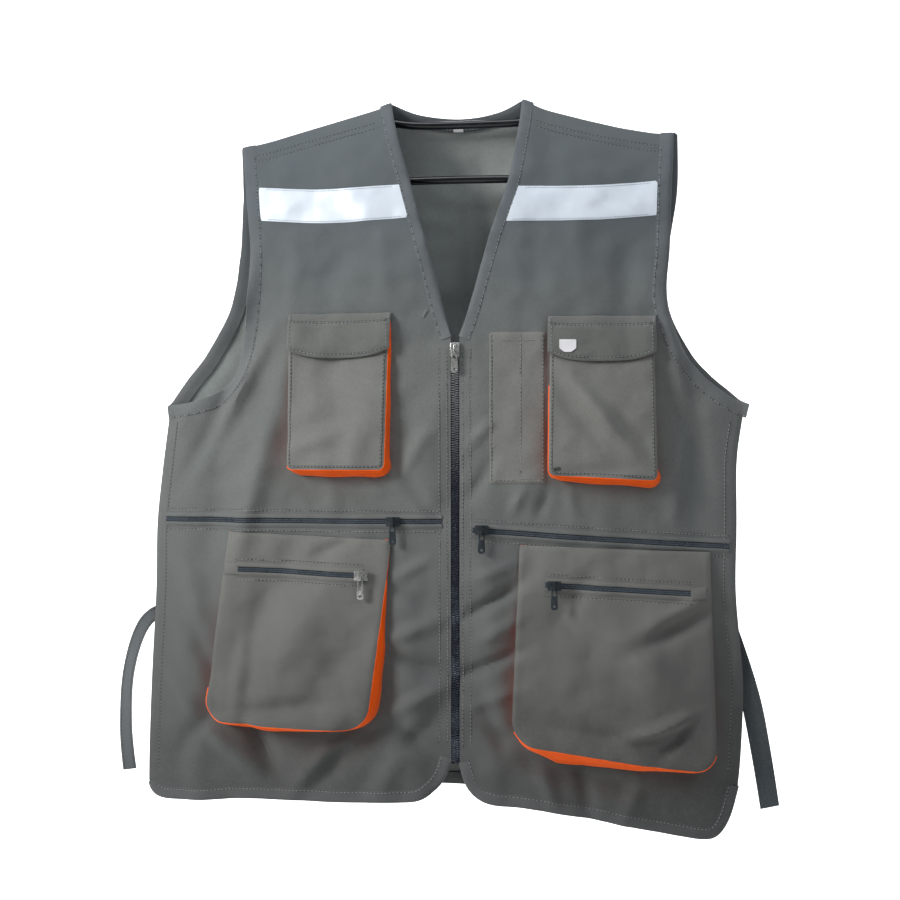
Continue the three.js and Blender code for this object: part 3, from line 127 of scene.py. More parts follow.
# Small folds on each face: x, z, angle from +X in degrees, half length, half width, height
SMALL_FOLDS = {
    "front": [
        (-222, -200, 72, 70, 10, 2.4), (-236, -272, 62, 45, 11, -1.6), (-215, -262, 60, 50, 9, 3.2),
        (-268, -330, 60, 45, 10, -2.6), (-285, -300, 55, 35, 8, 2.0), (-120, -150, 85, 38, 16, -1.3),
        (-70, -150, 96, 44, 12, 1.3), (-160, -160, 80, 34, 12, 1.1), (120, -150, 98, 44, 14, 1.3),
        (165, -150, 84, 40, 14, -1.3), (75, -150, 88, 40, 12, -1.0), (212, -240, 104, 50, 9, 2.4),
        (236, -330, 100, 45, 9, -2.6), (214, -350, 84, 40, 8, 1.6), (-40, -330, 60, 26, 7, 1.4),
        (-26, -340, 86, 60, 15, 1.7), (-200, -607, 119, 24, 8, -2.2), (-111, -602, 36, 26, 8, -2.2),
        (-39, -602, 42, 26, 9, -2.2), (-256, -600, 47, 22, 8, -1.8), (36, -590, 110, 34, 9, -2.2),
        (130, -640, 165, 50, 9, -1.9), (257, -525, 88, 80, 13, -3.4), (-34, -372, 130, 26, 6, -1.3),
        (24, -310, 45, 18, 5, 1.2), (26, -352, 60, 22, 6, -1.2), (60, -374, 65, 14, 5, 1.3),
        (84, -376, 70, 14, 5, -1.2), (112, -376, 100, 14, 6, 1.0), (-120, -372, 95, 14, 8, 1.0),
        (-42, -440, 30, 20, 6, 1.5), (-38, -470, 150, 22, 6, -1.7), (-42, -500, 20, 22, 6, 1.8),
        (-38, -532, 160, 26, 7, -2.8), (-36, -566, 25, 26, 7, 2.6), (-40, -604, 150, 24, 8, -1.8),
        (38, -442, 20, 20, 6, 1.4), (36, -470, 32, 28, 6, -2.8), (40, -500, 30, 24, 7, 1.8),
        (34, -530, 25, 28, 6, -2.8), (38, -564, 20, 24, 7, 1.7), (42, -600, 160, 24, 8, -1.6),
        (-268, -470, 110, 40, 12, 2.2), (-262, -520, 120, 36, 10, -2.4), (-288, -560, 130, 30, 9, 2.2),
        (-272, -610, 60, 34, 10, -2.2), (-230, -620, 140, 36, 10, 2.4), (-196, -622, 132, 34, 9, -2.6),
        (-110, -624, 45, 40, 10, -2.6), (-140, -634, 50, 36, 9, 2.2), (-60, -628, 60, 36, 10, 2.0),
        (90, -650, 110, 26, 8, 1.8), (124, -648, 100, 26, 8, -1.6), (170, -660, 70, 24, 9, 1.5),
        (262, -500, 95, 60, 8, -2.6),
    ],
    "back": [
        (-60, -250, 92, 120, 12, 2.2), (10, -130, 92, 110, 9, -1.6), (150, -260, 84, 120, 16, 2.2),
        (-170, -230, 96, 110, 14, -2.0), (-230, -560, 84, 110, 16, 2.4), (40, -560, 93, 130, 18, -2.4),
        (200, -540, 97, 120, 15, 2.2),
    ],
}


class Table:
    """A line through a few chosen points, read at any place, with its corners rounded."""

    def __init__(self, places, values, rounding=0.025):
        self.places = np.linspace(places[0], places[-1], 801)
        step = self.places[1] - self.places[0]
        reach = max(1, int(3 * rounding / step))
        kernel = np.exp(-0.5 * (np.arange(-reach, reach + 1) * step / rounding) ** 2)
        raw = np.pad(np.interp(self.places, places, values), reach, mode="edge")
        self.values = np.convolve(raw, kernel / kernel.sum(), mode="valid")

    def __call__(self, place):
        return np.interp(place, self.places, self.values)


SHOULDER = {"left": Table(SHOULDER_RUNS, SHOULDER_LEFT), "right": Table(SHOULDER_RUNS, SHOULDER_RIGHT)}
WIDTHS = {"left": Table(SECTION_DROPS, SECTION_LEFT), "right": Table(SECTION_DROPS, SECTION_RIGHT)}
DEPTHS = Table(SECTION_DROPS, SECTION_DEPTH)

NOISE_CELLS = 64
generator = np.random.default_rng(11)
angles = generator.uniform(0, 2 * math.pi, (NOISE_CELLS, NOISE_CELLS))
NOISE_ARROWS = np.stack([np.cos(angles), np.sin(angles)], axis=-1)


def noise(x, z, cell, shift=0.0):
    """Smooth noise from -1 to 1 with features about a cell wide."""
    px, pz = np.asarray(x) / cell + shift, np.asarray(z) / cell + 1.7 * shift
    ix, iz = np.floor(px).astype(int), np.floor(pz).astype(int)
    fx, fz = px - ix, pz - iz
    ease_x, ease_z = fx * fx * (3 - 2 * fx), fz * fz * (3 - 2 * fz)

    def corner(dx, dz):
        arrow = NOISE_ARROWS[(ix + dx) % NOISE_CELLS, (iz + dz) % NOISE_CELLS]
        return arrow[..., 0] * (fx - dx) + arrow[..., 1] * (fz - dz)

    low = corner(0, 0) * (1 - ease_x) + corner(1, 0) * ease_x
    high = corner(0, 1) * (1 - ease_x) + corner(1, 1) * ease_x
    return 1.4 * (low * (1 - ease_z) + high * ease_z)


def ridge_height(x):
    """Height of the shoulders' ridge, where the front meets the back."""
    run = np.abs(x) / SHOULDER_RUN
    share = np.where(np.asarray(x) < 0, SHOULDER["left"](run), SHOULDER["right"](run))
    return NECK_POINT_HEIGHT - SHOULDER_DROP * share


def half_width(x, z):
    """Distance from the middle to the garment's side, on the side that x is on."""
    drop = -np.asarray(z) / BODY_LENGTH
    return HALF_WIDTH * np.where(np.asarray(x) < 0, WIDTHS["left"](drop), WIDTHS["right"](drop))


def ridge(x, z, at_x, at_z, angle, length, width):
    """A soft ridge of height 1 over a place, along an angle."""
    run, rise = math.cos(math.radians(angle)), math.sin(math.radians(angle))
    along = ((x - at_x) * run + (z - at_z) * rise) / length
    across = ((z - at_z) * run - (x - at_x) * rise) / width
    return np.exp(-along * along - across * across)


def fold_height(face, x, z):
    """How far all folds and the uneven cloth stand out at a place."""
    total = np.zeros(np.broadcast(x, z).shape)
    small = np.zeros(total.shape)
    drop_here = -z / BODY_LENGTH
    for on, out, drop, slant, width, length, height in MAIN_FOLDS:
        if on == face:
            along = (drop_here - drop) / length
            middle = out + slant * (drop_here - drop) * BODY_LENGTH / HALF_WIDTH
            across = (x / HALF_WIDTH - middle) / width
            total = total + FRONT_DEPTH * height * np.exp(-along * along - across * across)
    for at_x, at_z, angle, length, width, height in SMALL_FOLDS[face]:
        small = small + FOLD_GAIN * height * ridge(x, z, at_x, at_z, angle, length, width)
    shift = 3.3 if face == "front" else 21.7
    for height, squeeze, cell, more in CLOTH_NOISE:
        small = small + height * noise(x, squeeze * z, cell, shift + more)
    if face == "front":
        for at_x, at_z in CALM_PLACES:
            small = small * (1 - np.exp(-((x - at_x) ** 2 + (z - at_z) ** 2) / CALM_REACH ** 2))
    return total + small


def cloth_depth(face, x, z):
    """Distance of the nominal surface from the plane of the hanger."""
    x, z = np.asarray(x, float), np.asarray(z, float)
    share = np.minimum(1, np.abs(x) / half_width(x, z))
    crown = 1 - share ** SIDE_SHARPNESS
    drop = np.maximum(0, ridge_height(x) - z)
    rise = 1 - np.exp(-drop / SHOULDER_ROUND)
    depth = FRONT_DEPTH if face == "front" else BACK_DEPTH
    full = depth * DEPTHS(-z / BODY_LENGTH)
    edge = np.minimum(1, 5 * (1 - share)) * np.minimum(1, drop / SHOULDER_ROUND)
    return np.maximum(0, full * crown * rise + edge * fold_height(face, x, z))


def cloth_y(face, x, z, offset):
    """y of the nominal surface, moved out from it by an offset."""
    return (-1 if face == "front" else 1) * (cloth_depth(face, x, z) + offset)


def front_surface(offset):
    return lambda x, z: cloth_y("front", x, z, offset)


def back_surface(offset):
    return lambda x, z: cloth_y("back", x, z, offset)


def spline(points, count):
    """Points on a smooth curve through the given points."""
    points = np.array(points, float)
    final = len(points) - 1
    place = np.linspace(0, final, count + 1)
    start = np.minimum(place.astype(int), final - 1)
    part = (place - start)[:, None]
    p0, p1 = points[np.maximum(start - 1, 0)], points[start]
    p2, p3 = points[start + 1], points[np.minimum(start + 2, final)]
    v0, v1 = (p2 - p0) / 2, (p3 - p1) / 2
    cubic = (2 * p1 - 2 * p2 + v0 + v1) * part ** 3
    return cubic + (-3 * p1 + 3 * p2 - 2 * v0 - v1) * part ** 2 + v0 * part + p1


def unit(vectors):
    """The same vectors, each of length 1."""
    return vectors / np.maximum(1e-9, np.linalg.norm(vectors, axis=1))[:, None]


def outward(run, facing=-1):
    """Unit vectors square to each run that point as far out of the cloth as they can."""
    out = np.tile([0.0, float(facing), 0.0], (len(run), 1))
    return unit(out - run * (out * run).sum(1)[:, None])


def on_surface(line, surface):
    """Points in space over a line in the plane; surface gives y from x and z."""
    x, z = line[:, 0], line[:, 1]
    return np.stack([x, surface(x, z), z], axis=1)


def run_lengths(line):
    """How far along the line each of its points lies."""
    steps = np.linalg.norm(np.diff(line, axis=0), axis=1)
    return np.concatenate([[0], np.cumsum(steps)])


def resample(line, spacing):
    """The same line with points at an even spacing."""
    line = np.array(line, float)
    runs = run_lengths(line)
    count = max(2, int(round(runs[-1] / spacing)) + 1)
    places = np.linspace(0, runs[-1], count)
    return np.stack([np.interp(places, runs, line[:, k]) for k in range(line.shape[1])], axis=1)


def normals_of(line):
    """Unit normals in the plane of the line, to the left of its run."""
    run = unit(np.gradient(np.array(line, float), axis=0))
    return np.stack([-run[:, 1], run[:, 0]], axis=1)


def sideways(line, distance):
    """The line, moved to the left of its run."""
    return np.array(line, float) + normals_of(line) * distance


# Edges of the garment in the plane of the hanger
SIDE_SPACING = 5


def neck_edge(side):
    sign = SIGN[side]
    rows = [
        (sign * NECK_HALF_WIDTH * out, NECK_POINT_HEIGHT - V_DEPTH * drop) for drop, out in V_EDGE[side]
    ]
    return spline(rows + [(sign * OPENING_HALF, NECK_POINT_HEIGHT - V_DEPTH)], 60)


def armhole_edge(side, face):
    out = ARMHOLE_OUT[face, side]
    start = float(ridge_height(SIGN[side] * HALF_WIDTH * out[0]))
    rows = [
        (SIGN[side] * HALF_WIDTH * share, start + (-ARMHOLE_DROP - start) * drop)
        for share, drop in zip(out, ARMHOLE_DROPS)
    ]
    return spline(rows, 90)


def hem_edge(side):
    shares = list(zip(HEM_OUT, HEM_DROP[side])) + HEM_END[side]
    rows = [(SIGN[side] * HALF_WIDTH * out, -BODY_LENGTH * drop) for out, drop in shares]
    line = spline(rows, 120)
    inside = np.abs(line[:, 0]) <= half_width(line[:, 0], line[:, 1]) + 0.01
    return line[: len(line) if inside.all() else int(np.argmin(inside))]


def back_neck_edge():
    left, right = NECK_HALF_WIDTH * V_EDGE["left"][0][1], NECK_HALF_WIDTH * V_EDGE["right"][0][1]
    low = NECK_POINT_HEIGHT - BACK_NECK_DROP
    bend = low + 0.3 * BACK_NECK_DROP
    rows = [(-left, NECK_POINT_HEIGHT), (-0.6 * left, bend), (0, low)]
    return spline(rows + [(0.6 * right, bend), (right, NECK_POINT_HEIGHT)], 60)


def yoke_seam(start, end, count=30):
    """The seam below the shoulder, from one distance out to another."""
    neck_x, tip_x = 0.4 * NECK_HALF_WIDTH, 1.2 * SHOULDER_RUN
    x = np.linspace(start, end, count)
    share = (np.abs(x) - neck_x) / (tip_x - neck_x)
    depth = YOKE_DEPTH_AT_NECK + (YOKE_DEPTH_AT_TIP - YOKE_DEPTH_AT_NECK) * share
    return np.stack([x, ridge_height(x) - depth], axis=1)


def below_yoke(line):
    """The part of an edge below the yoke's seam."""
    seam = yoke_seam(line[0, 0], line[0, 0] + 0.001, 2)[0, 1]
    return line[line[:, 1] < seam]


def side_line(side, top, foot):
    """The side of the garment from a foot height up to a top height."""
    z = np.linspace(foot, top, max(2, int(abs(top - foot) / SIDE_SPACING)))
    x = SIGN[side] * (half_width(SIGN[side] + 0 * z, z) - 0.2)
    return np.stack([x, z], axis=1)


# Mesh makers
def new_object(name, vertices, faces, fix_normals=True, crease=40):
    mesh = bpy.data.meshes.new(name)
    mesh.from_pydata([tuple(v) for v in np.asarray(vertices) * MM], [], [tuple(map(int, f)) for f in faces])
    if fix_normals:
        shape = bmesh.new()
        shape.from_mesh(mesh)
        bmesh.ops.recalc_face_normals(shape, faces=shape.faces)
        shape.to_mesh(mesh)
        shape.free()
    mesh.shade_smooth()
    mesh.set_sharp_from_angle(angle=math.radians(crease))
    piece = bpy.data.objects.new(name, mesh)
    bpy.context.scene.collection.objects.link(piece)
    return piece


def edge_distance(line, x, z):
    """Distance of each point from a closed line of points."""
    line = np.array(line, float)
    least = np.full(np.shape(x), 1e9)
    for start, end in zip(line, np.roll(line, -1, axis=0)):
        run = end - start
        size = max(1e-9, float(run @ run))
        share = np.clip(((x - start[0]) * run[0] + (z - start[1]) * run[1]) / size, 0, 1)
        away = np.hypot(x - start[0] - share * run[0], z - start[1] - share * run[1])
        least = np.minimum(least, away)
    return least


def inside_of(line, x, z):
    """Which points lie inside a closed outline."""
    found = np.zeros(np.shape(x), bool)
    for (ax, az), (bx, bz) in zip(line, np.roll(line, -1, axis=0)):
        if az != bz:
            crosses = (az > z) != (bz > z)
            found ^= crosses & (x < (bx - ax) * (z - az) / (bz - az) + ax)
    return found


def triangulate(outline, spacing):
    """Even triangles inside a closed outline: their points and corners."""
    ring = resample(np.vstack([outline, outline[:1]]), spacing)[:-1]
    low, high = ring.min(0), ring.max(0)
    rows = np.arange(low[1] + spacing / 2, high[1], spacing * 0.87)
    points = []
    for index, z in enumerate(rows):
        xs = np.arange(low[0] + (0.25 + 0.5 * (index % 2)) * spacing, high[0], spacing)
        points.append(np.stack([xs, np.full_like(xs, z)], axis=1))
    points = np.vstack(points) if points else np.zeros((0, 2))
    keep = inside_of(ring, points[:, 0], points[:, 1])
    points = points[keep]
    points = points[edge_distance(ring, points[:, 0], points[:, 1]) > 0.45 * spacing]
    everything = [Vector(p) for p in np.vstack([ring, points])]
    loop = [(i, (i + 1) % len(ring)) for i in range(len(ring))]
    made, _, corners, _, _, _ = delaunay_2d_cdt(everything, loop, [], 1, 1e-4)
    return np.array([(p.x, p.y) for p in made]), np.array(corners)


def patch(name, outline, spacing, outer, inner, face="front"):
    """A closed sheet over an outline. outer and inner give y from x and z."""
    flat, corners = triangulate(outline, spacing)
    top, under = on_surface(flat, outer), on_surface(flat, inner)
    count = len(flat)
    if face == "back":
        corners = corners[:, ::-1]
    directed = {(a, b) for tri in corners.tolist() for a, b in zip(tri, tri[1:] + tri[:1])}
    rim = [(b, a, a + count, b + count) for a, b in directed if (b, a) not in directed]
    faces = corners.tolist() + (corners[:, ::-1] + count).tolist() + sorted(rim)
    return new_object(name, np.vstack([top, under]), faces, fix_normals=False)


def tube(name, rings, crease=40):
    """A closed body through rings of points, shaped (rings, points, 3)."""
    rings = np.array(rings, float)
    count, around = rings.shape[:2]
    faces = []
    for i in range(count - 1):
        for j in range(around):
            k = (j + 1) % around
            faces.append((i * around + j, i * around + k, (i + 1) * around + k, (i + 1) * around + j))
    faces.append(tuple(range(around)))
    faces.append(tuple((count - 1) * around + j for j in range(around - 1, -1, -1)))
    return new_object(name, rings.reshape(-1, 3), faces, crease=crease)


def strip(name, line, surface, profile):
    """A strip laid along a line in the plane. The profile's (across, offset) points go round
    its section, across to the left of the line's run."""
    line = np.array(line, float)
    normals = normals_of(line)
    rings = []
    for across, offset in profile:
        x = line[:, 0] + normals[:, 0] * across
        z = line[:, 1] + normals[:, 1] * across
        rings.append(np.stack([x, surface(x, z) - offset, z], axis=1))
    return tube(name, np.stack(rings, axis=1), crease=50)


def join(name, pieces):
    """One object from several."""
    for piece in bpy.context.selected_objects:
        piece.select_set(False)
    for piece in pieces:
        piece.select_set(True)
    bpy.context.view_layer.objects.active = pieces[0]
    bpy.ops.object.join()
    pieces[0].name = name
    pieces[0].data.name = name
    return pieces[0]


# Threads: every stitch is a small closed body; a long row lies over a dark strip, painted shade where the
# cloth would dip
SHADE_LINE_HALF = 0.75
SHADE_LINE_SHORTEST = 20


class Thread:
    """Collects rows of stitches into one piece."""

    def __init__(self, name):
        self.name = name
        self.points = []
        self.faces = []
        self.count = 0
        self.painted_shade_lines = []

    def row(self, line, surface, **settings):
        """A row along a line in the plane; surface gives y from x and z."""
        self.row_3d(on_surface(np.array(line, float), surface), **settings)

    def row_3d(self, path, length=2.7, gap=1.1, thick=0.34, facing=-1, pressed=True):
        """A row along a path in space; under a long one, a dark strip of painted shade."""
        runs = run_lengths(path)
        if runs[-1] < length:
            return
        if pressed and runs[-1] > SHADE_LINE_SHORTEST:
            self.painted_shade_line(resample(path, 3), facing)
        starts = np.arange(gap, runs[-1] - length, length + gap)

        def at(run):
            return np.stack([np.interp(run, runs, path[:, k]) for k in range(3)], axis=1)

        head, tail = at(starts), at(starts + length)
        middle, run = (head + tail) / 2, unit(tail - head)
        out = outward(run, facing)
        across = np.cross(run, out)
        corners = [middle - run * length * 0.5 - out * 0.15]
        for place in (-0.3, 0.3):
            centre = middle + run * length * place
            corners += [centre + across * thick, centre + out * thick * 1.3]
            corners += [centre - across * thick, centre - out * thick * 0.6]
        corners.append(middle + run * length * 0.5 - out * 0.15)
        block = np.stack(corners, axis=1)
        pattern = [(0, 1, 2), (0, 2, 3), (0, 3, 4), (0, 4, 1)]
        pattern += [(9, 6, 5), (9, 7, 6), (9, 8, 7), (9, 5, 8)]
        pattern += [(1, 5, 6, 2), (2, 6, 7, 3), (3, 7, 8, 4), (4, 8, 5, 1)]
        for index in range(len(block)):
            base = self.count + 10 * index
            self.faces += [tuple(base + k for k in face) for face in pattern]
        self.points.append(block.reshape(-1, 3))
        self.count += 10 * len(block)

    def painted_shade_line(self, path, facing):
        """A dark strip under a row of stitches: painted shade where the cloth would dip."""
        out = np.tile([0.0, float(facing), 0.0], (len(path), 1))
        across = unit(np.cross(unit(np.gradient(path, axis=0)), out))
        section = [(-SHADE_LINE_HALF, -0.5), (-SHADE_LINE_HALF, -0.12), (SHADE_LINE_HALF, -0.12), (SHADE_LINE_HALF, -0.5)]
        self.painted_shade_lines.append(np.stack([path + across * a + out * o for a, o in section], axis=1))

    def tack(self, x, z, surface, length, angle, rows=3):
        """A bar tack: short rows close together."""
        run = np.array([math.cos(math.radians(angle)), math.sin(math.radians(angle))])
        side = np.array([-run[1], run[0]])
        for index in range(rows):
            middle = np.array([x, z]) + side * 0.8 * (index - (rows - 1) / 2)
            line = np.array([middle - run * length / 2, middle, middle + run * length / 2])
            self.row(resample(line, 1), surface, length=1.6, gap=0.15, thick=0.38)

    def finish(self, material):
        piece = new_object(self.name, np.vstack(self.points), self.faces, crease=60)
        dress(piece, material, "binding")
        # The dark strips under the rows are painted shade
        lines = [tube(f"{self.name}_line", rings) for rings in self.painted_shade_lines]
        if lines:
            dress(join(f"{self.name}_line", lines), SEAM_PAINTED_SHADE, "vest_cloth")


# Materials
def linear(red, green, blue):
    """Colour in Blender's linear light from screen values of 0 to 255."""
    values = []
    for value in (red, green, blue):
        share = value / 255
        values.append(share / 12.92 if share <= 0.04045 else ((share + 0.055) / 1.055) ** 2.4)
    return (*values, 1.0)


def scaled(colour, factor, lift=0.0):
    """A lighter or darker version of a colour."""
    return tuple(min(1, part * factor + lift) for part in colour[:3]) + (1.0,)


class Nodes:
    """Short ways to build a material's node tree."""

    def __init__(self, name, **sockets):
        self.material = bpy.data.materials.new(name)
        self.material.use_nodes = True
        self.tree = self.material.node_tree
        self.shader = self.tree.nodes["Principled BSDF"]
        for socket, value in sockets.items():
            self.shader.inputs[socket.replace("_", " ").title().replace("Ior", "IOR")].default_value = value
        self.coordinates = self.tree.nodes.new("ShaderNodeTexCoord").outputs["Object"]

    def link(self, output, socket):
        self.tree.links.new(output, socket)

    def texture(self, kind, scale, **settings):
        node = self.tree.nodes.new(kind)
        node.inputs["Scale"].default_value = scale
        self.link(self.coordinates, node.inputs["Vector"])
        for key, value in settings.items():
            socket = key.replace("_", " ").title()
            if socket in node.inputs:
                node.inputs[socket].default_value = value
            else:
                setattr(node, key, value)
        return node

    def noise(self, scale, detail, roughness=0.55):
        return self.texture("ShaderNodeTexNoise", scale, detail=detail, roughness=roughness).outputs["Fac"]

    def bands(self, scale, direction, distortion):
        wave = self.texture("ShaderNodeTexWave", scale, distortion=distortion)
        wave.wave_type = "BANDS"
        wave.bands_direction = direction
        return wave.outputs["Fac"]

    def math(self, operation, first, second):
        node = self.tree.nodes.new("ShaderNodeMath")
        node.operation = operation
        for index, value in enumerate((first, second)):
            if isinstance(value, (int, float)):
                node.inputs[index].default_value = value
            else:
                self.link(value, node.inputs[index])
        return node.outputs[0]

    def mix(self, share, first, second):
        """Colour between two colours or colour outputs."""
        node = self.tree.nodes.new("ShaderNodeMix")
        node.data_type = "RGBA"
        if isinstance(share, (int, float)):
            node.inputs[0].default_value = share
        else:
            self.link(share, node.inputs[0])
        for socket, value in ((node.inputs[6], first), (node.inputs[7], second)):
            if isinstance(value, tuple):
                socket.default_value = value
            else:
                self.link(value, socket)
        return node.outputs[2]

    def spread(self, value, low, high, to_low=0.0, to_high=1.0):
        node = self.tree.nodes.new("ShaderNodeMapRange")
        self.link(value, node.inputs["Value"])
        for socket, number in zip(("From Min", "From Max", "To Min", "To Max"), (low, high, to_low, to_high)):
            node.inputs[socket].default_value = number
        node.clamp = True
        return node.outputs["Result"]

    def axis(self, name):
        node = self.tree.nodes.new("ShaderNodeSeparateXYZ")
        self.link(self.coordinates, node.inputs[0])
        return node.outputs[name]

    def colour(self, output):
        self.link(output, self.shader.inputs["Base Color"])

    def roughness(self, output):
        self.link(output, self.shader.inputs["Roughness"])

    def bump(self, height, strength, distance):
        node = self.tree.nodes.new("ShaderNodeBump")
        node.inputs["Strength"].default_value = strength
        node.inputs["Distance"].default_value = distance
        self.link(height, node.inputs["Height"])
        self.link(node.outputs[0], self.shader.inputs["Normal"])


TWILL_SCALE = 560  # diagonal ribs about 1.1 mm apart
THREAD_SCALE = 1100
SHOULDER_PAINTED_SHADE = (-0.23, -0.09)  # heights in metres over which the bluish painted shade of the shoulders comes in
# Heights in metres over which the painted shading towards the foot comes in
FOOT_PAINTED_SHADING = (-0.36, -0.66)
# Heights in metres over which the zip teeth go from a painted highlight to painted shade
TEETH_PAINTED_SHADING_HEIGHTS = (-0.27, -0.36)


def twill(name, colour, shoulder=None, foot=None, sheen=0.2):
    """Woven work cloth: diagonal ribs, uneven dye, light fuzz, paler worn high spots; its shoulder and foot
    colours are painted shading by height.
    """
    nodes = Nodes(name, roughness=0.78, sheen_weight=sheen, sheen_roughness=0.45, specular_ior_level=0.3)
    ribs = nodes.bands(TWILL_SCALE, "DIAGONAL", 0.6)
    threads = nodes.bands(THREAD_SCALE, "X", 0.4)
    fibres = nodes.noise(1500, 2.0)
    slubs = nodes.noise(420, 3.0)
    dye = nodes.noise(9, 4.0, 0.6)
    patchy = nodes.noise(48, 4.0, 0.65)
    base = colour
    # Painted shading by height: a bluish painted shade towards the shoulders, painted shading towards the
    # foot
    if shoulder:
        base = nodes.mix(nodes.spread(nodes.axis("Z"), *SHOULDER_PAINTED_SHADE), base, shoulder)
    if foot:
        base = nodes.mix(nodes.spread(nodes.axis("Z"), *FOOT_PAINTED_SHADING), base, foot)
    dark, pale = scaled(colour, 0.68), scaled(colour, 1.5)
    shade = nodes.mix(nodes.spread(dye, 0.35, 0.7, 0.0, 0.35), base, dark)
    shade = nodes.mix(nodes.spread(patchy, 0.5, 0.8, 0.0, 0.15), shade, pale)
    shade = nodes.mix(nodes.spread(ribs, 0.0, 1.0, 0.0, 0.22), shade, pale)
    shade = nodes.mix(nodes.spread(slubs, 0.45, 0.7, 0.0, 0.35), shade, dark)
    shade = nodes.mix(nodes.spread(fibres, 0.35, 0.65, 0.0, 0.3), shade, dark)
    nodes.colour(shade)
    nodes.roughness(nodes.spread(patchy, 0.3, 0.7, 0.68, 0.88))
    height = nodes.math("ADD", nodes.math("MULTIPLY", ribs, 0.6), nodes.math("MULTIPLY", threads, 0.25))
    height = nodes.math("ADD", height, nodes.math("MULTIPLY", slubs, 0.9))
    nodes.bump(height, 0.5, 0.0003)
    return nodes.material


def satin(name, colour, roughness=0.5):
    """Smooth bright lining cloth of the pocket sides."""
    nodes = Nodes(name, roughness=roughness, sheen_weight=0.05, specular_ior_level=0.2)
    weave = nodes.bands(1300, "X", 0.3)
    cross = nodes.bands(1300, "Z", 0.3)
    uneven = nodes.noise(45, 3.0)
    deep = (colour[0] * 0.82, colour[1] * 0.68, colour[2] * 0.7, 1.0)
    shade = nodes.mix(nodes.spread(uneven, 0.3, 0.75, 0.0, 0.5), colour, deep)
    shade = nodes.mix(nodes.spread(weave, 0.0, 1.0, 0.0, 0.12), shade, deep)
    nodes.colour(shade)
    nodes.roughness(nodes.spread(uneven, 0.2, 0.8, roughness - 0.08, roughness + 0.12))
    nodes.bump(nodes.math("ADD", weave, cross), 0.25, 0.0001)
    return nodes.material


def reflective(name):
    """Silver tape with fine glass beads and faint marks where it was folded."""
    nodes = Nodes(name, metallic=0.1, specular_ior_level=0.5, sheen_weight=0.1)
    beads = nodes.texture("ShaderNodeTexVoronoi", 2600).outputs["Distance"]
    cells = nodes.bands(240, "DIAGONAL", 0.0)
    marks = nodes.noise(28, 4.0, 0.6)
    shade = nodes.mix(nodes.spread(marks, 0.35, 0.75, 0.0, 0.7), linear(212, 221, 231), linear(188, 199, 212))
    shade = nodes.mix(nodes.spread(cells, 0.7, 1.0, 0.0, 0.15), shade, linear(176, 186, 200))
    nodes.colour(shade)
    nodes.roughness(nodes.spread(marks, 0.3, 0.7, 0.38, 0.55))
    nodes.bump(beads, 0.2, 0.0001)
    return nodes.material


def metal(name, colour, roughness, metallic=0.9, foot=None):
    """Cast zinc, plated and lightly worn; a foot colour, if given, paints shading towards the bottom."""
    nodes = Nodes(name, metallic=metallic, specular_ior_level=0.5)
    scuffs = nodes.noise(900, 4.0, 0.7)
    stains = nodes.noise(150, 3.0)
    dark, pale = scaled(colour, 0.5), scaled(colour, 1.5, 0.03)
    shade = nodes.mix(nodes.spread(stains, 0.35, 0.7, 0.0, 0.6), colour, dark)
    # Painted shading by height: the foot colour below
    if foot:
        shade = nodes.mix(nodes.spread(nodes.axis("Z"), *TEETH_PAINTED_SHADING_HEIGHTS), shade, foot)
    nodes.colour(nodes.mix(nodes.spread(scuffs, 0.55, 0.75, 0.0, 0.5), shade, pale))
    nodes.roughness(nodes.spread(scuffs, 0.3, 0.7, roughness - 0.08, roughness + 0.15))
    nodes.bump(scuffs, 0.15, 0.0001)
    return nodes.material


def plastic(name, colour, roughness, bump=0.08):
    """Moulded or extruded plastic with a fine skin texture."""
    nodes = Nodes(name, specular_ior_level=0.5)
    grain = nodes.noise(700, 3.0)
    haze = nodes.noise(70, 3.0)
    pale = scaled(colour, 1.8, 0.01)
    nodes.colour(nodes.mix(nodes.spread(haze, 0.4, 0.8, 0.0, 0.4), colour, pale))
    nodes.roughness(nodes.spread(haze, 0.3, 0.7, roughness - 0.05, roughness + 0.1))
    nodes.bump(grain, bump, 0.0002)
    return nodes.material


# Each twill's shoulder colour is a bluish painted shade, and its foot colour painted shading towards the hem
CLOTH = twill("vest_twill", linear(104, 108, 107), linear(76, 85, 93), linear(50, 51, 53))
BACK_CLOTH = twill("vest_twill_back", linear(100, 103, 102), linear(88, 95, 102), linear(78, 80, 81))
POCKET = twill("pocket_twill", linear(118, 119, 116), foot=linear(32, 33, 34))
# Flap cloth a little darker than the pocket faces it covers: painted shade
FLAP_PAINTED_SHADE = twill("flap_painted_shade_twill", linear(102, 104, 102))
BINDING = twill("binding_twill", linear(105, 109, 110), linear(82, 90, 98), linear(66, 67, 69))
TIE = twill("tie_twill", linear(104, 109, 112), foot=linear(98, 103, 106))
# A darker copy of the tie cloth for the right tie: painted shade, paler towards its foot
TIE_PAINTED_SHADE = twill("tie_painted_shade_twill", linear(52, 58, 64), foot=linear(78, 86, 91))
ORANGE = satin("orange_satin", linear(255, 98, 4))
SILVER = reflective("reflective_tape")
TAPE = twill("zip_tape_cloth", linear(38, 43, 49), sheen=0.1)
# Coil a pale bluish grey: its own grey, lightened as a painted highlight
COIL_GREY_AND_PAINTED_HIGHLIGHT = plastic("zip_coil_grey_and_painted_highlight", linear(86, 96, 106), 0.28)
THREAD = twill(
    "sewing_thread", linear(142, 146, 144), linear(136, 144, 152), linear(128, 130, 130), sheen=0.3
)
# Paler cloth for the back's inner faces, seen through the neck: painted light
BACK_INSIDE_PAINTED_LIGHT = twill("back_inside_painted_light_twill", linear(156, 163, 161), linear(156, 163, 163), linear(84, 85, 86))
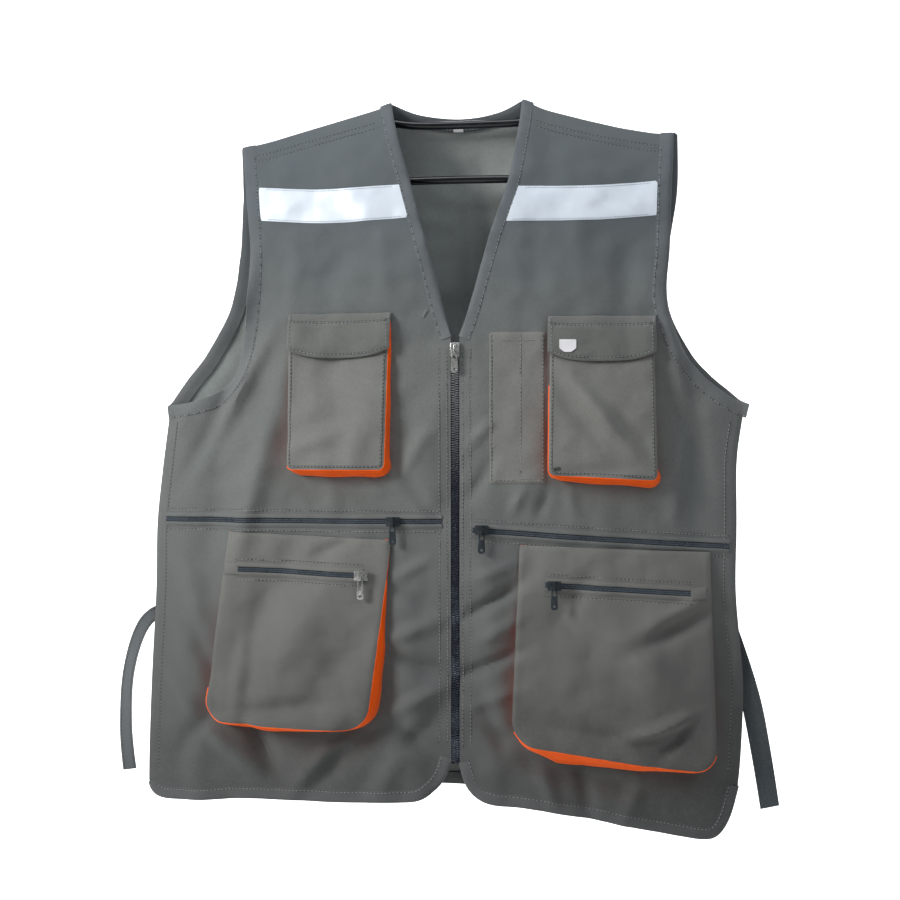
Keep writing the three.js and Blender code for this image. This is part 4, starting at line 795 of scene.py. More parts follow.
# Dark cloth of the painted shade under rows of stitches
SEAM_PAINTED_SHADE = twill("seam_painted_shade", linear(72, 75, 75), linear(66, 72, 78), linear(54, 55, 56), sheen=0.1)
DARK_THREAD = twill("dark_thread", linear(66, 69, 70), sheen=0.3)
SILVER_THREAD = twill("silver_thread", linear(168, 180, 192), sheen=0.3)
# Zip teeth: pale silver above, partly painted highlight over their own silver, and bluish dark below, painted
# shade
ZIP_TEETH_PAINTED_SHADING = metal("zip_teeth_painted_shading_metal", linear(200, 205, 208), 0.25, 0.85, linear(84, 92, 106))
DARK_METAL = metal("painted_metal", linear(66, 74, 80), 0.35, 0.75)
BRIGHT_METAL = metal("plated_metal", linear(216, 218, 216), 0.24)
PATCH = satin("white_patch", linear(226, 229, 232), 0.6)
HANGER = plastic("hanger_black", linear(16, 21, 24), 0.14, 0.03)


def dress(piece, material, slot, *nodes, body="root"):
    """Gives a piece its look, its body and the nodes that it takes the place of. The slot is not used."""
    piece.data.materials.clear()
    piece.data.materials.append(material)
    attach(piece, body)
    if nodes:
        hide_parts(*nodes)


def skins(face):
    """Outer and inner faces of a panel, rounded where the front meets the back."""
    def at(offset):
        def surface(x, z):
            share = np.minimum(1, np.abs(x) / half_width(x, z))
            close = np.clip((share - 0.985) / 0.015, 0, 1)
            return cloth_y(face, x, z, 0) + (-1 if face == "front" else 1) * offset * (1 - 0.7 * close ** 2)
        return surface
    return at(SKIN_OUT), at(SKIN_IN)


PANEL_SPACING = 4
BACK_SPACING = 5.5


def front_outline(side):
    sign = SIGN[side]
    neck = below_yoke(neck_edge(side))
    arm = below_yoke(armhole_edge(side, "front"))
    hem = hem_edge(side)
    centre = np.array([[sign * OPENING_HALF, FRONT_ZIP_TOP - 4], [sign * OPENING_HALF, hem[0, 1] + 4]])
    sides = side_line(side, arm[-1, 1] - 1, hem[-1, 1] + 1)
    seam = yoke_seam(arm[0, 0], neck[0, 0])
    return np.vstack([neck, centre, hem, sides, arm[::-1], seam[1:-1]])


def back_outline():
    left_arm = below_yoke(armhole_edge("left", "back"))
    right_arm = below_yoke(armhole_edge("right", "back"))
    left_hem = back_hem("left")
    right_hem = back_hem("right")
    neck = back_neck_edge()
    seam_ends = np.array([-NECK_HALF_WIDTH - 6, NECK_HALF_WIDTH * V_EDGE["right"][0][1] + 6])
    left_seam = yoke_seam(left_arm[0, 0], seam_ends[0])
    right_seam = yoke_seam(seam_ends[1], right_arm[0, 0])
    under_yokes = np.stack([seam_ends, ridge_height(seam_ends) - 3.5], axis=1)
    inner = neck[neck[:, 1] < ridge_height(neck[:, 0]) - 1.2]
    left_side = side_line("left", left_arm[-1, 1] - 1, left_hem[-1, 1] + 1)
    right_side = side_line("right", right_arm[-1, 1] - 1, right_hem[-1, 1] + 1)
    return np.vstack([
        left_seam, under_yokes[:1], inner, under_yokes[1:], right_seam, right_arm[1:], right_side[::-1],
        right_hem[::-1], left_hem, left_side, left_arm[::-1][:-1],
    ])


def back_hem(side):
    hem = hem_edge(side)
    return hem[np.abs(hem[:, 0]) > BACK_HEM_START * HALF_WIDTH]


# Panels
for side in SIGN:
    outer, inner = skins("front")
    panel = patch(f"cloth_front_{side}", front_outline(side), PANEL_SPACING, outer, inner)
    dress(panel, CLOTH, "vest_cloth", f"front_panel_{side}")
outer, inner = skins("back")
back = patch("cloth_back", back_outline(), BACK_SPACING, outer, inner, "back")
dress(back, BACK_CLOTH, "vest_cloth", "back_panel_left", "back_panel_right")
# The back's inner faces take the paler cloth: painted light
back.data.materials.append(BACK_INSIDE_PAINTED_LIGHT)
for polygon in back.data.polygons:
    polygon.material_index = 1 if polygon.normal.y < 0 else 0

# Yokes: one sheet over each shoulder, from the front seam to the back seam
YOKE_COLUMNS = 60
YOKE_ROWS = 12


def yoke(side):
    sign = SIGN[side]
    neck_x = NECK_HALF_WIDTH * V_EDGE[side][0][1]
    tip_front = HALF_WIDTH * ARMHOLE_OUT["front", side][0]
    tip_back = HALF_WIDTH * ARMHOLE_OUT["back", side][0]
    rings = []
    for column in range(YOKE_COLUMNS + 1):
        share = column / YOKE_COLUMNS
        ring = []
        for offset, order in ((SKIN_OUT + 0.15, 1), (SKIN_IN - 0.5, -1)):
            row = []
            for step in range(-YOKE_ROWS, YOKE_ROWS + 1):
                tip = tip_front if step < 0 else tip_back
                x = sign * (neck_x + 3 + (tip - 3 - neck_x - 3) * share)
                depth = YOKE_DEPTH_AT_NECK + (YOKE_DEPTH_AT_TIP - YOKE_DEPTH_AT_NECK) * share + 1.5
                fall = depth * (abs(step) / YOKE_ROWS) ** 1.6
                face = "front" if step < 0 else "back"
                z = float(ridge_height(x)) - fall
                y = float(cloth_y(face, x, z, 0))
                turn = min(1, abs(step) / 3) * math.pi / 2
                y += (-1 if step < 0 else 1) * offset * math.sin(turn)
                row.append((x, y, z + 0.45 * offset * math.cos(turn)))
            ring += row[::order]
        rings.append(ring)
    return tube(f"cloth_yoke_{side}", rings, crease=60)


for side in SIGN:
    piece = yoke(side)
    dress(piece, CLOTH, "vest_cloth", f"shoulder_yoke_{side}")

# Bindings: a folded strip that wraps the edge, with puckers along its stitching
PROUD = 0.5  # how far a strip stands off the panel beside its edge
FOLD_DEPTH = 3.0  # how far it reaches behind the panel's outer face


def folded(width):
    """Section of a folded strip round an edge: across from just outside the edge, and the
    offset outside the panel's outer face."""
    section = [(-1.1, -1.2), (-0.9, -0.4), (-0.3, PROUD)]
    rises = [(0.25, 0.35), (0.5, 0.3), (0.8, -0.1), (0.92, -0.2), (1, -0.5)]
    section += [(width * share, PROUD + rise) for share, rise in rises]
    section += [(width, -0.6), (width, -FOLD_DEPTH), (width * 0.5, -FOLD_DEPTH)]
    return section + [(0, -FOLD_DEPTH), (-0.8, -FOLD_DEPTH + 0.6)]


BRIDGE_STEPS = 5  # steps over the ridge, from the front edge to the back edge


def over_shoulder(front, back, front_in, back_in, profile):
    """Rings of a binding that runs up a front edge, over the ridge and down a back edge.
    The lines start at the foot of the front; the _in arrays point into the cloth."""
    rings = []
    stations = [(point, into, -1.0) for point, into in zip(front, front_in)]
    for step in range(1, BRIDGE_STEPS):
        share = step / BRIDGE_STEPS
        point = front[-1] * (1 - share) + back[0] * share
        into = front_in[-1] * (1 - share) + back_in[0] * share
        stations.append((point, into / np.linalg.norm(into), 2 * share - 1))
    stations += [(point, into, 1.0) for point, into in zip(back, back_in)]
    across, offset = np.array(profile).T
    for index, (point, into, turn) in enumerate(stations):
        x = point[0] + into[0] * across
        z = point[1] + into[1] * across
        pucker = 0.3 * math.sin(index * 2.1) * np.clip(across / 10, 0, 1) * (offset > 0)
        thick = SKIN_OUT + offset + pucker
        depth = cloth_depth("front" if turn < 0 else "back", x, z)
        lift = math.cos(turn * math.pi / 2)
        side = math.sin(turn * math.pi / 2)
        rings.append(np.stack([x, side * (depth + thick), z + 0.6 * lift * thick], axis=1))
    return rings


def blend_to(vectors, target, count, at_start):
    """Turns the first or last few unit vectors towards a target."""
    vectors = vectors.copy()
    for step in range(min(count, len(vectors))):
        index = step if at_start else len(vectors) - 1 - step
        share = 1 - step / count
        mixed = vectors[index] * (1 - share) + np.array(target) * share
        vectors[index] = mixed / np.linalg.norm(mixed)
    return vectors


BINDING_STEP = 3
binding_lines = {}
for side in SIGN:
    sign = SIGN[side]
    front = resample(armhole_edge(side, "front")[::-1], BINDING_STEP)
    back_line = resample(armhole_edge(side, "back"), BINDING_STEP)
    into_front = normals_of(front) * sign
    into_back = normals_of(back_line) * -sign
    tip = front[-1]
    slope = float(ridge_height(tip[0] - sign * 13) - ridge_height(tip[0])) / 13
    inward = np.array([-sign, slope]) / math.hypot(1, slope)
    into_front = blend_to(into_front, inward, 8, False)
    into_back = blend_to(into_back, inward, 8, True)
    rings = over_shoulder(front, back_line, into_front, into_back, folded(ARMHOLE_BINDING_WIDTH))
    piece = tube(f"binding_armhole_{side}", rings, crease=50)
    dress(piece, BINDING, "binding", f"armhole_binding_front_{side}", f"armhole_binding_back_{side}")
    binding_lines["armhole", side] = (front, into_front, back_line, into_back)


def along_shoulder(side):
    """Unit direction from a neck point down the shoulder's ridge."""
    start = SIGN[side] * NECK_HALF_WIDTH * V_EDGE[side][0][1]
    end = start + SIGN[side] * NECK_BINDING_WIDTH
    fall = float(ridge_height(end) - ridge_height(start))
    return np.array([SIGN[side] * NECK_BINDING_WIDTH, fall]) / math.hypot(NECK_BINDING_WIDTH, fall)


back_neck = resample(back_neck_edge(), BINDING_STEP)
into_back_neck = -normals_of(back_neck)
into_back_neck[:, 1] = -np.abs(into_back_neck[:, 1])
into_back_neck = blend_to(into_back_neck, along_shoulder("left"), 7, True)
into_back_neck = blend_to(into_back_neck, along_shoulder("right"), 7, False)
half = len(back_neck) // 2
back_halves = {"left": slice(half + 1), "right": slice(None, half - 1, -1)}
neck_rings = {}
for side in SIGN:
    front = resample(neck_edge(side)[::-1], BINDING_STEP)
    into_front = blend_to(normals_of(front) * -SIGN[side], along_shoulder(side), 5, False)
    binding_lines["neck", side] = (front, into_front)
    back_line, into_back = back_neck[back_halves[side]], into_back_neck[back_halves[side]]
    neck_rings[side] = over_shoulder(front, back_line, into_front, into_back, folded(NECK_BINDING_WIDTH))
piece = tube("binding_neck", neck_rings["left"] + neck_rings["right"][::-1][1:], crease=50)
dress(piece, BINDING, "binding", "neck_binding_left", "neck_binding_right", "back_neck_binding")

# Hem bands
for side in SIGN:
    hem = resample(hem_edge(side), BINDING_STEP)
    hem = hem if side == "right" else hem[::-1]
    piece = strip(f"hem_front_{side}", hem, front_surface(SKIN_OUT), folded(HEM_BAND_WIDTH))
    dress(piece, BINDING, "binding", f"hem_band_front_{side}")
back_foot = resample(np.vstack([back_hem("left")[::-1], back_hem("right")]), BINDING_STEP)
# The back band is made facing the front, like every strip, and then turned round
piece = strip("hem_back", back_foot, lambda x, z: -cloth_y("back", x, z, SKIN_OUT), folded(HEM_BAND_WIDTH))
for vertex in piece.data.vertices:
    vertex.co.y = -vertex.co.y
piece.data.flip_normals()
dress(piece, BINDING, "binding", "hem_band_back")

# Pockets: place across (u) and down (v), depth from the panel, as in the part. grow is how far
# the side cloth shows past the face: (share of the edge's run from the left top round the foot
# to the right top, millimetres)
POCKET_SWELL = 1.2
POCKET_SIDE_EASE = 0.15
POCKETS = {
    ("chest", "left"): dict(
        x=-163, top=-201, width=99, height=143, depth=19, mouth=4, corner=5, top_fall=0, foot_fall=0,
        left_run=-1, right_run=-3,
        grow=[(0, 0), (0.36, 0.3), (0.4, 7), (0.6, 8), (0.65, 3.5), (0.97, 2.5), (1, 2)],
    ),
    ("chest", "right"): dict(
        x=91, top=-206, width=99, height=143, depth=19, mouth=4, corner=5, top_fall=-1, foot_fall=5,
        left_run=-1, right_run=3,
        grow=[(0, 0), (0.2, 0.3), (0.35, 0.6), (0.39, 6), (0.61, 8), (0.65, 0.5), (1, 0)],
    ),
    ("lower", "left"): dict(
        x=-228, top=-406, width=166, height=186, depth=28, mouth=1.5, corner=22, top_fall=6, foot_fall=2,
        left_run=-22, right_run=-22,
        grow=[
            (0, 0), (0.3, 1), (0.36, 5), (0.42, 10), (0.52, 9), (0.6, 4), (0.66, 6), (0.72, 8), (0.8, 6),
            (0.88, 2.5), (0.93, 0.5), (1, 0),
        ],
    ),
    ("lower", "right"): dict(
        x=62, top=-416, width=183, height=186, depth=28, mouth=1.5, corner=22, top_fall=8, foot_fall=32,
        left_run=-7, right_run=5,
        grow=[
            (0, 0), (0.3, 0.5), (0.34, 8), (0.39, 17), (0.47, 14), (0.56, 10), (0.61, 7), (0.66, 1),
            (0.7, 0), (1, 0),
        ],
    ),
}
# Folds on the pocket faces: x, z, angle, half length, half width, height
FACE_FOLDS = {
    ("chest", "left"): [
        (-120, -275, 100, 50, 16, -1.0), (-90, -310, 70, 40, 14, 1.2), (-140, -318, 20, 30, 9, 0.8),
    ],
    ("chest", "right"): [
        (140, -290, -48, 46, 9, 2.4), (122, -296, -50, 46, 10, -1.6), (160, -300, -46, 40, 9, -1.5),
        (120, -348, 5, 40, 7, -1.2),
    ],
    ("lower", "left"): [
        (-190, -480, 62, 50, 16, -2.4), (-150, -500, 55, 60, 20, 2.2), (-110, -530, 60, 50, 18, -1.6),
        (-170, -575, 8, 60, 8, -1.4), (-212, -540, 85, 40, 8, 1.6), (-120, -420, 25, 24, 7, -1.2),
    ],
    ("lower", "right"): [
        (120, -500, -38, 60, 20, -2.2), (170, -520, -40, 70, 22, 2.6), (205, -500, 28, 40, 9, -2.2),
        (215, -480, 25, 36, 8, 1.8), (196, -588, 18, 26, 6, 3.4), (212, -600, 45, 20, 6, -2.4),
        (110, -470, 55, 30, 10, -1.4), (150, -598, -14, 60, 8, -1.6),
    ],
}


def pocket_row(pocket, v):
    """Left end, width and fall of a pocket's row at a share of the way down."""
    left = pocket["x"] + pocket["left_run"] * v
    right = pocket["x"] + pocket["width"] + pocket["right_run"] * v
    return left, right - left, pocket["top_fall"] * (1 - v) + pocket["foot_fall"] * v


def pocket_place(pocket, u, v):
    """The place at a u and v."""
    left, width, fall = pocket_row(pocket, v)
    return left + width * u, pocket["top"] - pocket["height"] * v - fall * u


def pocket_share(pocket, x, z):
    """The u and v of a place, found in a few rounds."""
    u, v = 0.5 + 0 * x, 0.5 + 0 * z
    for _ in range(5):
        fall = pocket_row(pocket, v)[2]
        v = (pocket["top"] - z - fall * u) / pocket["height"]
        left, width, _ = pocket_row(pocket, v)
        u = (x - left) / width
    return u, v


def pocket_depth(pocket, u, v):
    """How far the pocket stands off the panel at a u and v."""
    belly = 1 - POCKET_SIDE_EASE * (2 * u - 1) ** 2
    return pocket["mouth"] + (pocket["depth"] - pocket["mouth"]) * v ** POCKET_SWELL * belly


FACE_TURN = 1.3  # how far a face's edge turns in
FACE_TURN_REACH = 3.0  # over this width


def face_surface(key, offset, outline=None):
    """y of a pocket's face; its edge turns in over a few millimetres."""
    pocket = POCKETS[key]

    def surface(x, z):
        u, v = pocket_share(pocket, x, z)
        off = pocket_depth(pocket, u, np.clip(v, 0, 1.1)) + SKIN_OUT - 0.15 + offset
        for at_x, at_z, angle, length, width, height in FACE_FOLDS[key]:
            off = off + FACE_FOLD_GAIN * height * ridge(x, z, at_x, at_z, angle, length, width)
        off = off + 0.5 * noise(x, z, 34, 6.1 + pocket["x"] / 100)
        if outline is not None:
            near = np.clip(1 - edge_distance(outline, x, z) / FACE_TURN_REACH, 0, 1)
            off = off - FACE_TURN * near ** 2
        return cloth_y("front", x, z, off)
    return surface


def pocket_edge(pocket):
    """The pocket's edge from its left top, round the foot, to its right top."""
    down = 1 - pocket["corner"] / pocket["height"]
    inward = pocket["corner"] / pocket["width"]
    left = [(0, down * step / 12) for step in range(13)]
    for step in range(1, 11):
        turn = math.pi / 2 * step / 10
        left.append((inward * (1 - math.cos(turn)), down + (1 - down) * math.sin(turn)))
    foot = [(inward + (1 - 2 * inward) * step / 16, 1) for step in range(1, 16)]
    right = [(1 - u, v) for u, v in left[::-1]]
    return np.array([pocket_place(pocket, u, v) for u, v in left + foot + right])


FACE_SPACING = 3


def gusset(name, pocket, edge, key):
    """Folded side cloth between the panel and the face's edge."""
    runs = run_lengths(edge)
    grow = np.interp(runs / runs[-1], *zip(*pocket["grow"]))
    grow = grow + 0.5 * np.sin(runs / 9) * np.clip(grow / 6, 0, 1)
    out = normals_of(edge)
    if out[len(out) // 2, 1] > 0:
        out = -out
    rim_y = face_surface(key, -0.9)(edge[:, 0], edge[:, 1])
    rings = []
    levels = np.linspace(0, 1, 7)
    for thickness, order in ((0.0, 1), (0.9, -1)):
        part = []
        for level in levels:
            tuck = 5 * np.sin(math.pi * level) * (1 - np.clip(grow / 4, 0, 1))
            puff = 1.2 * np.sin(math.pi * level) * np.clip(grow / 6, 0, 1)
            reach = grow * (1 - level) ** 0.8 - tuck + puff - thickness - 0.4
            x, z = edge[:, 0] + out[:, 0] * reach, edge[:, 1] + out[:, 1] * reach
            base_y = cloth_y("front", x, z, SKIN_OUT + 0.1)
            y = base_y * (1 - level) + rim_y * level
            part.append(np.stack([x, y, z], axis=1))
        rings += part[::order]
    return tube(name, np.stack(rings, axis=1), crease=70)


PIPING_RADIUS = 0.75
PIPING_SIDES = 6


def piping(name, line, surface):
    """A thin rolled edge along a line."""
    x, z = line[:, 0], line[:, 1]
    y = surface(x, z)
    out = normals_of(line)
    rings = []
    for step in range(PIPING_SIDES):
        turn = 2 * math.pi * step / PIPING_SIDES
        across, ahead = PIPING_RADIUS * math.cos(turn), PIPING_RADIUS * math.sin(turn)
        rings.append(np.stack([x + out[:, 0] * across, y + ahead, z + out[:, 1] * across], axis=1))
    return tube(name, np.stack(rings, axis=1), crease=80)


# Where each pocket's rolled orange edge starts and ends, as shares of the edge's run
PIPED = {
    ("chest", "left"): (0.37, 1.0), ("chest", "right"): (0.15, 0.64),
    ("lower", "left"): (0.3, 0.93), ("lower", "right"): (0.31, 0.67),
}
pocket_edges = {}
for key, pocket in POCKETS.items():
    kind, side = key
    edge = resample(pocket_edge(pocket), 2.5)
    pocket_edges[key] = edge
    surface = face_surface(key, 2.0, edge)
    face = patch(f"{kind}_pocket_{side}", edge, FACE_SPACING, surface, face_surface(key, 0.6))
    dress(face, POCKET, "pocket_cloth", f"{kind}_pocket_face_{side}")
    cloth = gusset(f"{kind}_bellows_{side}", pocket, edge, key)
    start, end = (int(share * (len(edge) - 1)) for share in PIPED[key])
    roll = piping(f"{kind}_roll_{side}", sideways(edge[start:end], -0.2), face_surface(key, 0.0))
    cloth = join(f"{kind}_bellows_{side}", [cloth, roll])
    dress(cloth, ORANGE, "orange_cloth", f"{kind}_pocket_gusset_{side}")

# Flaps over the chest pockets
FLAP_OVERHANG = 2
FLAP_WIDTH = 103
FLAP_HEIGHT = 44
FLAP_ABOVE = 9
FLAP_LIFT = 2
FLAP_CORNER_LIFT = 0.2
FLAP_COLUMNS = 44
FLAP_LINES = 22


def flap_point(key, across, down, offset):
    """A point of the flap: across 0 to 1, down 0 to 1."""
    pocket = POCKETS[key]
    u = -FLAP_OVERHANG / pocket["width"] + across * (1 + 2 * FLAP_OVERHANG / pocket["width"])
    drop = FLAP_HEIGHT * down * (1 - FLAP_CORNER_LIFT * abs(2 * across - 1) ** 3)
    v = max(0.0, (drop - FLAP_ABOVE) / pocket["height"])
    x, _ = pocket_place(pocket, u, v)
    z = pocket_place(pocket, u, 0)[1] + FLAP_ABOVE - drop
    over = min(1, down * 4) * (pocket_depth(pocket, u, v) + 2 + FLAP_LIFT * down)
    return x, float(cloth_y("front", x, z, LAID_ON + over + offset)), z


def flap_offset(across, down):
    """Thickness of the flap: full in its middle field, pressed along its sewn border."""
    border = min(across * FLAP_WIDTH, (1 - across) * FLAP_WIDTH, (1 - down) * FLAP_HEIGHT)
    field = 0.5 * min(1, max(0, (border - 4) / 6)) * min(1, max(0, (down - 0.16) / 0.15))
    top = 0.6 * math.exp(-((down - 0.09) / 0.06) ** 2)
    edge = -1.2 * max(0, 1 - border / 1.6) ** 2
    dent = -0.35 * math.exp(-((border - 3.6) / 0.9) ** 2) - 0.4 * math.exp(-((down - 0.19) / 0.02) ** 2)
    return 1.7 + field + top + edge + dent


def flap(key):
    """A chest pocket's flap, as a closed sheet."""
    rings = []
    for row in range(FLAP_LINES + 1):
        down = row / FLAP_LINES
        top, under = [], []
        for column in range(FLAP_COLUMNS + 1):
            across = column / FLAP_COLUMNS
            wave = 0.5 * float(noise(across * 100, down * FLAP_HEIGHT + POCKETS[key]["x"], 21, 2.2)) * down
            top.append(flap_point(key, across, down, flap_offset(across, down) + wave))
            under.append(flap_point(key, across, down, 0.4 + wave))
        rings.append(top + under[::-1])
    piece = tube(f"chest_flap_{key[1]}", rings, crease=60)
    # The flap's darker cloth is painted shade
    dress(piece, FLAP_PAINTED_SHADE, "pocket_cloth", f"chest_pocket_flap_{key[1]}")


for side in SIGN:
    flap(("chest", side))


def flap_border(key, top, border, offset):
    """A path along the flap's border: down one side, along the foot, up the other."""
    inset_x, inset_z = border / FLAP_WIDTH, border / FLAP_HEIGHT
    downs = np.linspace(top, 1 - inset_z, 20)
    places = [(inset_x, down) for down in downs]
    places += [(across, 1 - inset_z) for across in np.linspace(inset_x, 1 - inset_x, 60)]
    places += [(1 - inset_x, down) for down in downs[::-1]]
    return np.array([flap_point(key, across, down, offset) for across, down in places])


# Flat pieces on the front
def flat_piece(name, outline, low, high, spacing, material, slot, node, turn):
    """A thin sheet laid on the front from a low to a high offset, its edge turned in."""
    ring = resample(np.vstack([outline, outline[:1]]), 2)[:-1]

    def top(x, z):
        near = np.clip(1 - edge_distance(ring, x, z) / 1.5, 0, 1)
        return cloth_y("front", x, z, high - turn * near ** 2)

    piece = patch(name, outline, spacing, top, front_surface(low))
    dress(piece, material, slot, node)


STRIP_TOP = {
    "left": [(0.05, 0.96), (0.24, 1.02), (0.46, 1.03), (0.76, 0.9)],
    "right": [(0.05, 1.07), (0.24, 1.07), (0.46, 1.05), (0.76, 0.9)],
}
STRIP_DROP = 66
STRIP_HEIGHT = 34


def between_bindings(side, z):
    """Where the panel shows between the neck's and the armhole's binding at a height."""
    neck, arm = neck_edge(side), armhole_edge(side, "front")
    near = np.interp(z, neck[::-1, 1], np.abs(neck[::-1, 0])) + NECK_BINDING_WIDTH
    far = np.interp(z, arm[::-1, 1], np.abs(arm[::-1, 0])) - ARMHOLE_BINDING_WIDTH
    return near, far


strip_lines = {}
for side in SIGN:
    sign = SIGN[side]
    line = spline([(HALF_WIDTH * out, -STRIP_DROP * drop) for out, drop in STRIP_TOP[side]], 60)
    edges = []
    for drop in (0, STRIP_HEIGHT):
        near, far = between_bindings(side, np.interp(60, line[:, 0], line[:, 1]) - drop)
        x = np.linspace(near - 0.4, far + 0.4, 50)
        edge = np.stack([x, np.interp(x, line[:, 0], line[:, 1]) - drop], axis=1)
        edges.append(edge * np.array([sign, 1]))
    outline = np.vstack([edges[0], edges[1][::-1]])
    strip_lines[side] = edges
    flat_piece(
        f"silver_strip_{side}", outline, SKIN_OUT - 0.3, SKIN_OUT + 0.75, 4, SILVER, "reflective_tape",
        f"reflective_strip_{side}", 0.3,
    )

PEN_LEFT, PEN_RIGHT, PEN_TOP, PEN_FOOT = 33, 87, -212, -357
pen_outline = [(PEN_LEFT, PEN_FOOT), (PEN_RIGHT, PEN_FOOT), (PEN_RIGHT, PEN_TOP), (PEN_LEFT, PEN_TOP)]
flat_piece(
    "pen_pocket_cloth", pen_outline, SKIN_OUT - 0.2, SKIN_OUT + 1.3, FACE_SPACING, POCKET, "pocket_cloth",
    "pen_pocket", 0.9,
)

# Small blocks, such as zip teeth
class Studs:
    """Collects small tapered blocks into one piece."""

    def __init__(self, name):
        self.name = name
        self.points = []

    def add(self, places, sizes, taper=0.65):
        """Blocks at places, each with (half run, half across, height)."""
        centres, run, across, out = places
        half_run, half_across, height = sizes
        corners = []
        for rise, scale in ((-0.3, 1.0), (height, taper)):
            for along, aside in ((-1, -1), (1, -1), (1, 1), (-1, 1)):
                reach = run * along * half_run * scale + across * aside * half_across * (0.5 + 0.5 * scale)
                corners.append(centres + reach + out * rise)
        self.points.append(np.stack(corners, axis=1).reshape(-1, 3))

    def finish(self, material, slot, *nodes):
        points = np.vstack(self.points)
        pattern = [(0, 3, 2, 1), (4, 5, 6, 7), (0, 1, 5, 4), (1, 2, 6, 5), (2, 3, 7, 6), (3, 0, 4, 7)]
        faces = [tuple(base + k for k in face) for base in range(0, len(points), 8) for face in pattern]
        piece = new_object(self.name, points, faces)
        dress(piece, material, slot, *nodes)


def places_along(line, surface, pitch, aside, start):
    """Places at an even pitch along a line, with the directions along, across and out."""
    line = resample(sideways(resample(line, 2), aside), 1)
    runs = run_lengths(line)
    at = np.arange(start, runs[-1], pitch)
    x, z = np.interp(at, runs, line[:, 0]), np.interp(at, runs, line[:, 1])
    centres = np.stack([x, surface(x, z), z], axis=1)
    run = unit(np.gradient(centres, axis=0))
    out = outward(run)
    return centres, run, np.cross(run, out), out


def raised(surface, lift):
    """The same surface, further out from the front."""
    return lambda x, z: surface(x, z) - lift


# Zips with coils: tape, two rows of coil turns, and a folded lip of cloth on each side
COIL_PITCH = 1.5
TAPE_SECTION = [(-4.5, 0.0), (-4.5, 0.35), (4.5, 0.35), (4.5, 0.0)]
LIP = [(2.5, 0.0), (2.5, 1.1), (3.1, 1.6), (4.4, 1.5), (5.6, 0.9), (6.8, 0.35), (6.8, 0.0)]


def coil_zip(prefix, side, line, surface, node, lip_cloth, lip_slot):
    """A zip along a line: its tape, two rows of coil and the lips of cloth beside it."""
    line = resample(line, 4)
    tape = strip(f"{prefix}_tape_{side}", line, surface, TAPE_SECTION)
    dress(tape, TAPE, "zip_tape", node)
    coil = Studs(f"{prefix}_coil_{side}")
    for aside in (-0.95, 0.95):
        places = places_along(line, raised(surface, 0.35), COIL_PITCH, aside, COIL_PITCH * (aside > 0) / 2)
        coil.add(places, (0.5, 0.8, 0.75))
    coil.finish(COIL_GREY_AND_PAINTED_HIGHLIGHT, "zip_teeth")
    low_lip = [(-across, offset) for across, offset in LIP[::-1]]
    lips = [strip(f"{prefix}_lip_{side}", line, surface, LIP)]
    lips.append(strip(f"{prefix}_lip_low_{side}", line, surface, low_lip))
    dress(join(f"{prefix}_lip_{side}", lips), lip_cloth, lip_slot)


YOKE_ZIPS = {"left": [(-300, -395), (-13, -394)], "right": [(17, -402), (264, -419)]}
ZIP_TAB = [(-5.5, 0.0), (-5.5, 0.8), (-4.8, 1.3), (4.8, 1.3), (5.5, 0.8), (5.5, 0.0)]
POCKET_ZIPS = {"left": (0.085, 0.86), "right": (0.14, 0.9)}  # ends, as shares of the pocket's width
POCKET_ZIP_DOWN = 36 / 186
zip_lines = {}
for side in SIGN:
    ends = np.array(YOKE_ZIPS[side], float)
    line = resample(ends, 4)
    zip_lines["yoke", side] = (line, front_surface(SKIN_OUT))
    coil_zip("yoke_zip", side, line, front_surface(SKIN_OUT), f"yoke_zip_{side}", CLOTH, "vest_cloth")
    key = ("lower", side)
    shares = np.linspace(*POCKET_ZIPS[side], 30)
    line = np.array([pocket_place(POCKETS[key], u, POCKET_ZIP_DOWN) for u in shares])
    surface = face_surface(key, 2.0)
    zip_lines["lower", side] = (line, surface)
    coil_zip("lower_pocket_zip", side, line, surface, f"lower_pocket_zip_{side}", POCKET, "pocket_cloth")
    # Tab of cloth at the zip's outer end
    outer = line[0] if side == "left" else line[-1]
    away = np.array([SIGN[side] * 13.0, 0.0])
    tab_line = resample(np.array([outer - away * 0.15, outer + away]), 2)
    tab = strip(f"zip_tab_{side}", tab_line, surface, ZIP_TAB)
    dress(tab, POCKET, "pocket_cloth")

# Front zip: tapes behind the front edges and two rows of moulded teeth
TOOTH_PITCH = 2.3
for side in SIGN:
    sign = SIGN[side]
    line = resample(np.array([[0.0, FRONT_ZIP_BOTTOM], [0.0, FRONT_ZIP_TOP]]), 5)
    near, far = sorted((-sign * 0.35, -sign * 13.0))
    section = [(near, 0.0), (near, 0.9), (far, 0.9), (far, 0.0)]
    tape = strip(f"front_tape_{side}", line, front_surface(-1.1), section)
    dress(tape, TAPE, "zip_tape", f"front_zip_tape_{side}")
    teeth = Studs(f"front_teeth_{side}")
    start = 1.5 + (TOOTH_PITCH / 2 if side == "left" else 0)
    for aside, size, taper in ((1.5, (0.8, 1.6, 2.3), 0.75), (3.3, (0.55, 0.9, 1.5), 0.8)):
        places = places_along(line, front_surface(0.0), TOOTH_PITCH, -sign * aside, start)
        teeth.add(places, size, taper)
    teeth.finish(ZIP_TEETH_PAINTED_SHADING, "dark_metal", f"front_zip_teeth_{side}")


